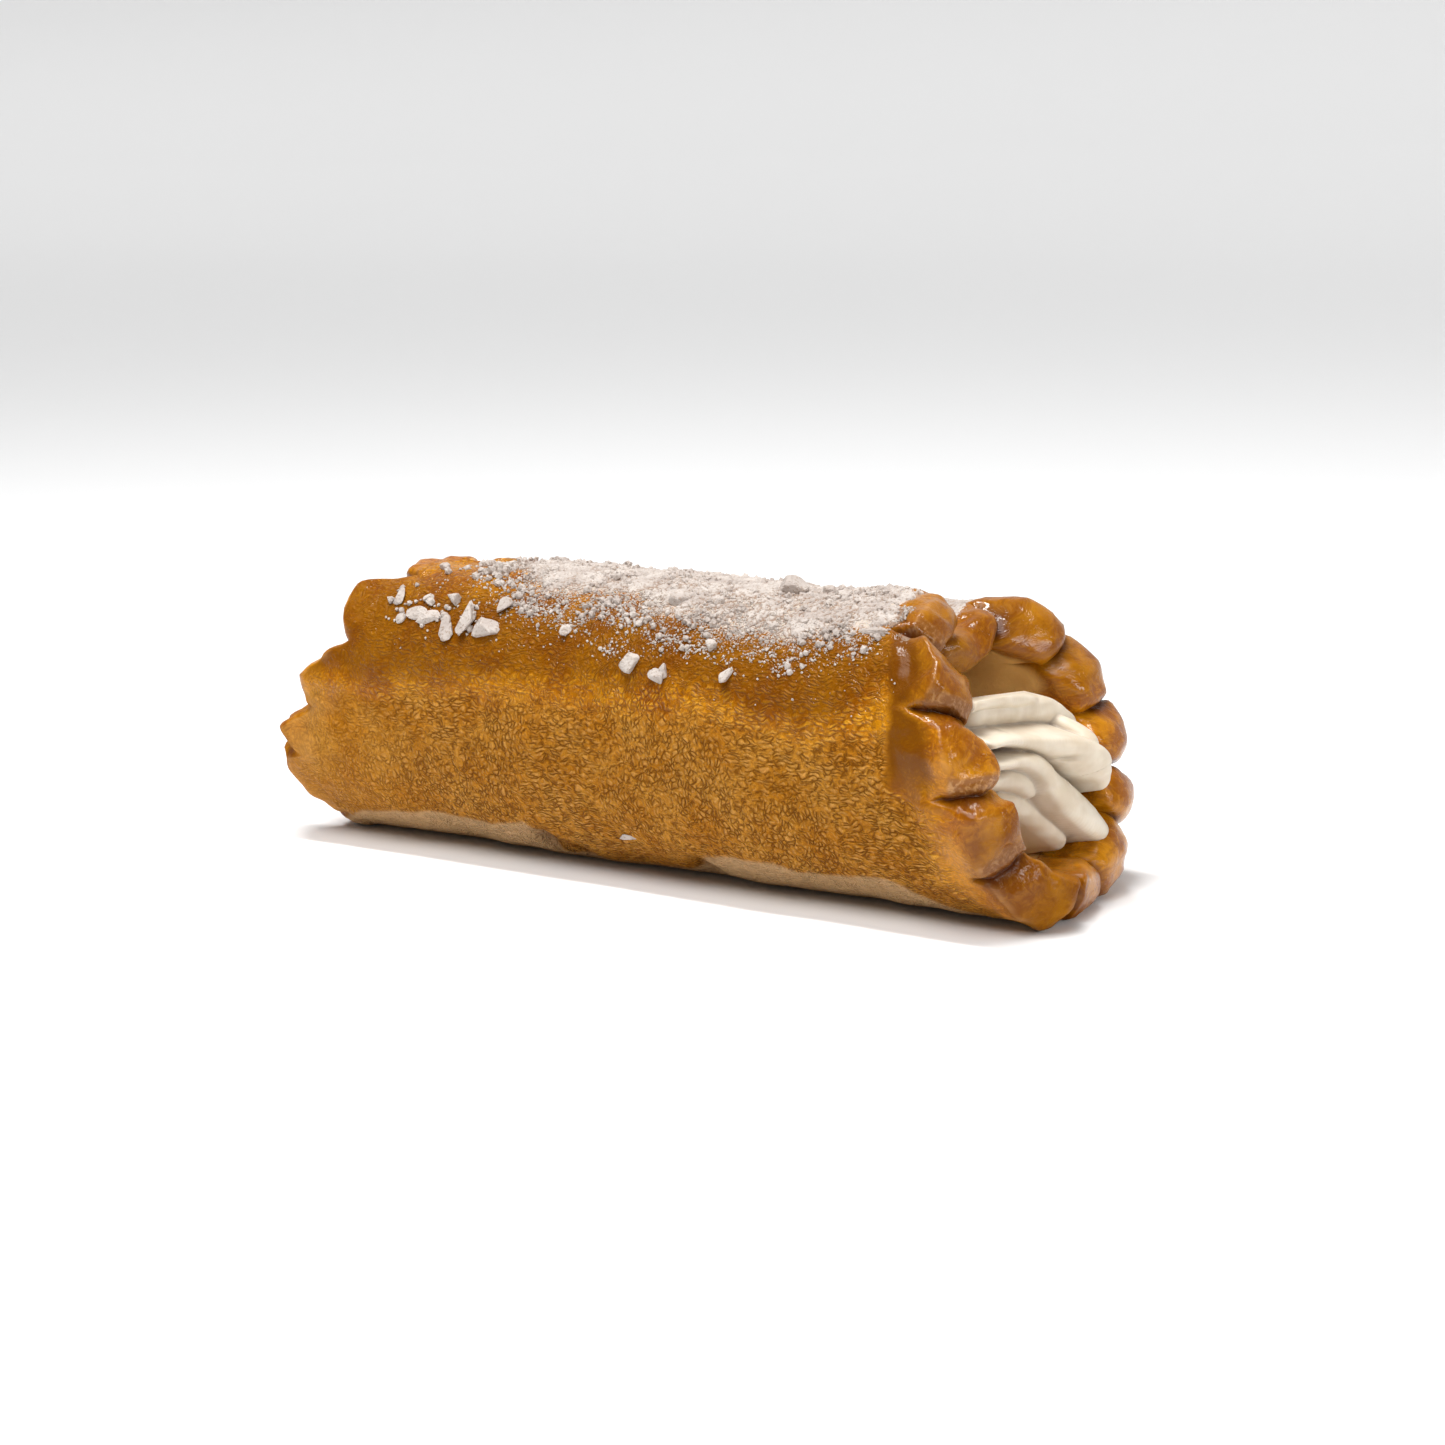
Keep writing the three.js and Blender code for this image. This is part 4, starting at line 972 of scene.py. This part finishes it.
ball, *ball_faces = lump_ball()
lump_points = []
for number, (x_lump, turn_lump, *sides_lump) in enumerate(LUMPS):
    rounded = turn_lump > ROUND_ABOVE
    facets = rng.normal(size=(LUMP_FACETS, 3))
    facets /= np.linalg.norm(facets, axis=1)[:, None]
    cut = rng.uniform(*LUMP_CUTS, LUMP_FACETS) + ROUNDING * rounded
    flat = np.min(cut / np.maximum(ball @ facets.T, 0.2), axis=1)
    radius = np.minimum(1.3, flat) + 0.04 * soft_noise(*(ball * 5 + 9 * number).T, 1, 61)
    scale = ROUND_SCALE if rounded else LUMP_SCALE
    sine, cosine = np.sin(np.radians(turn_lump)), np.cos(np.radians(turn_lump))
    upright = np.array([(1, 0, 0), (0, -cosine, sine), (0, -sine, -cosine)])
    out = plain_radius(x_lump, turn_lump) + LUMP_SINK * sides_lump[2]
    middle = section_point(x_lump, turn_lump, out)
    lump_points.append((ball * radius[:, None] * scale * sides_lump) @ upright + middle)
steps = len(ball) * np.arange(len(LUMPS))[:, None, None]
lumps = put_mesh("sugar_lumps", np.concatenate(lump_points),
                 [(group + steps).reshape(-1, group.shape[1]) for group in ball_faces], smooth=False)
lumps.data.materials.append(sugar)
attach(lumps, "root")


# ---- Table and light ----
# A pale table that curves up far behind the pastry, the soft light of a wide window above, one
# softbox overhead and one on the right for the gloss, and a weak even light from the room.
TABLE_PROFILE = np.array([(-9, 0), (2, 0), (2.5, 0.08), (2.85, 0.3), (3, 0.7), (3, 6.0)])  # (y, z), m
TABLE_WIDTH = np.linspace(-12, 12, 3)
ROOM_LIGHT, WINDOW_LIGHT, WINDOW_SPREAD, WINDOW_TURN = 0.15, 1.9, 40, (30, 4, 0)

sweep = np.stack([np.broadcast_to(TABLE_WIDTH, (6, 3)), np.repeat(TABLE_PROFILE[:, :1], 3, 1),
                  np.repeat(TABLE_PROFILE[:, 1:], 3, 1)], -1)
table = put_mesh("table", sweep / MM, [grid_faces(6, 3)])
table.data.materials.append(Nodes("pale_table", Base_Color=(240, 240, 240), Roughness=0.9).material)


def softbox(name, place, target, size, power):
    """A rectangular area light at a place, aimed at a target."""
    light = bpy.data.lights.new(name, "AREA")
    light.shape = "RECTANGLE"
    light.size, light.size_y = size
    light.energy = power
    lamp = bpy.data.objects.new(name, light)
    lamp.location = place
    aim = np.array(target) - np.array(place)
    flat = np.hypot(aim[0], aim[1])
    lamp.rotation_euler = (np.arctan2(flat, -aim[2]), 0, np.arctan2(aim[1], aim[0]) - np.pi / 2)
    bpy.context.scene.collection.objects.link(lamp)


sun = bpy.data.lights.new("window", "SUN")
sun.energy, sun.angle = WINDOW_LIGHT, np.radians(WINDOW_SPREAD)
window = bpy.data.objects.new("window", sun)
window.rotation_euler = np.radians(WINDOW_TURN)
bpy.context.scene.collection.objects.link(window)
softbox("overhead", (-0.06, -0.06, 0.6), (-0.06, 0, 0.02), (0.35, 0.05), 3.2)
softbox("right", (0.75, -0.25, 0.3), (0.05, 0, 0.02), (0.2, 0.2), 1.9)
world = bpy.data.worlds.new("room")
world.use_nodes = True
world.node_tree.nodes["Background"].inputs["Color"].default_value = (1, 1, 1, 1)
world.node_tree.nodes["Background"].inputs["Strength"].default_value = ROOM_LIGHT
bpy.context.scene.world = world
bpy.context.scene.view_settings.view_transform = "Standard"
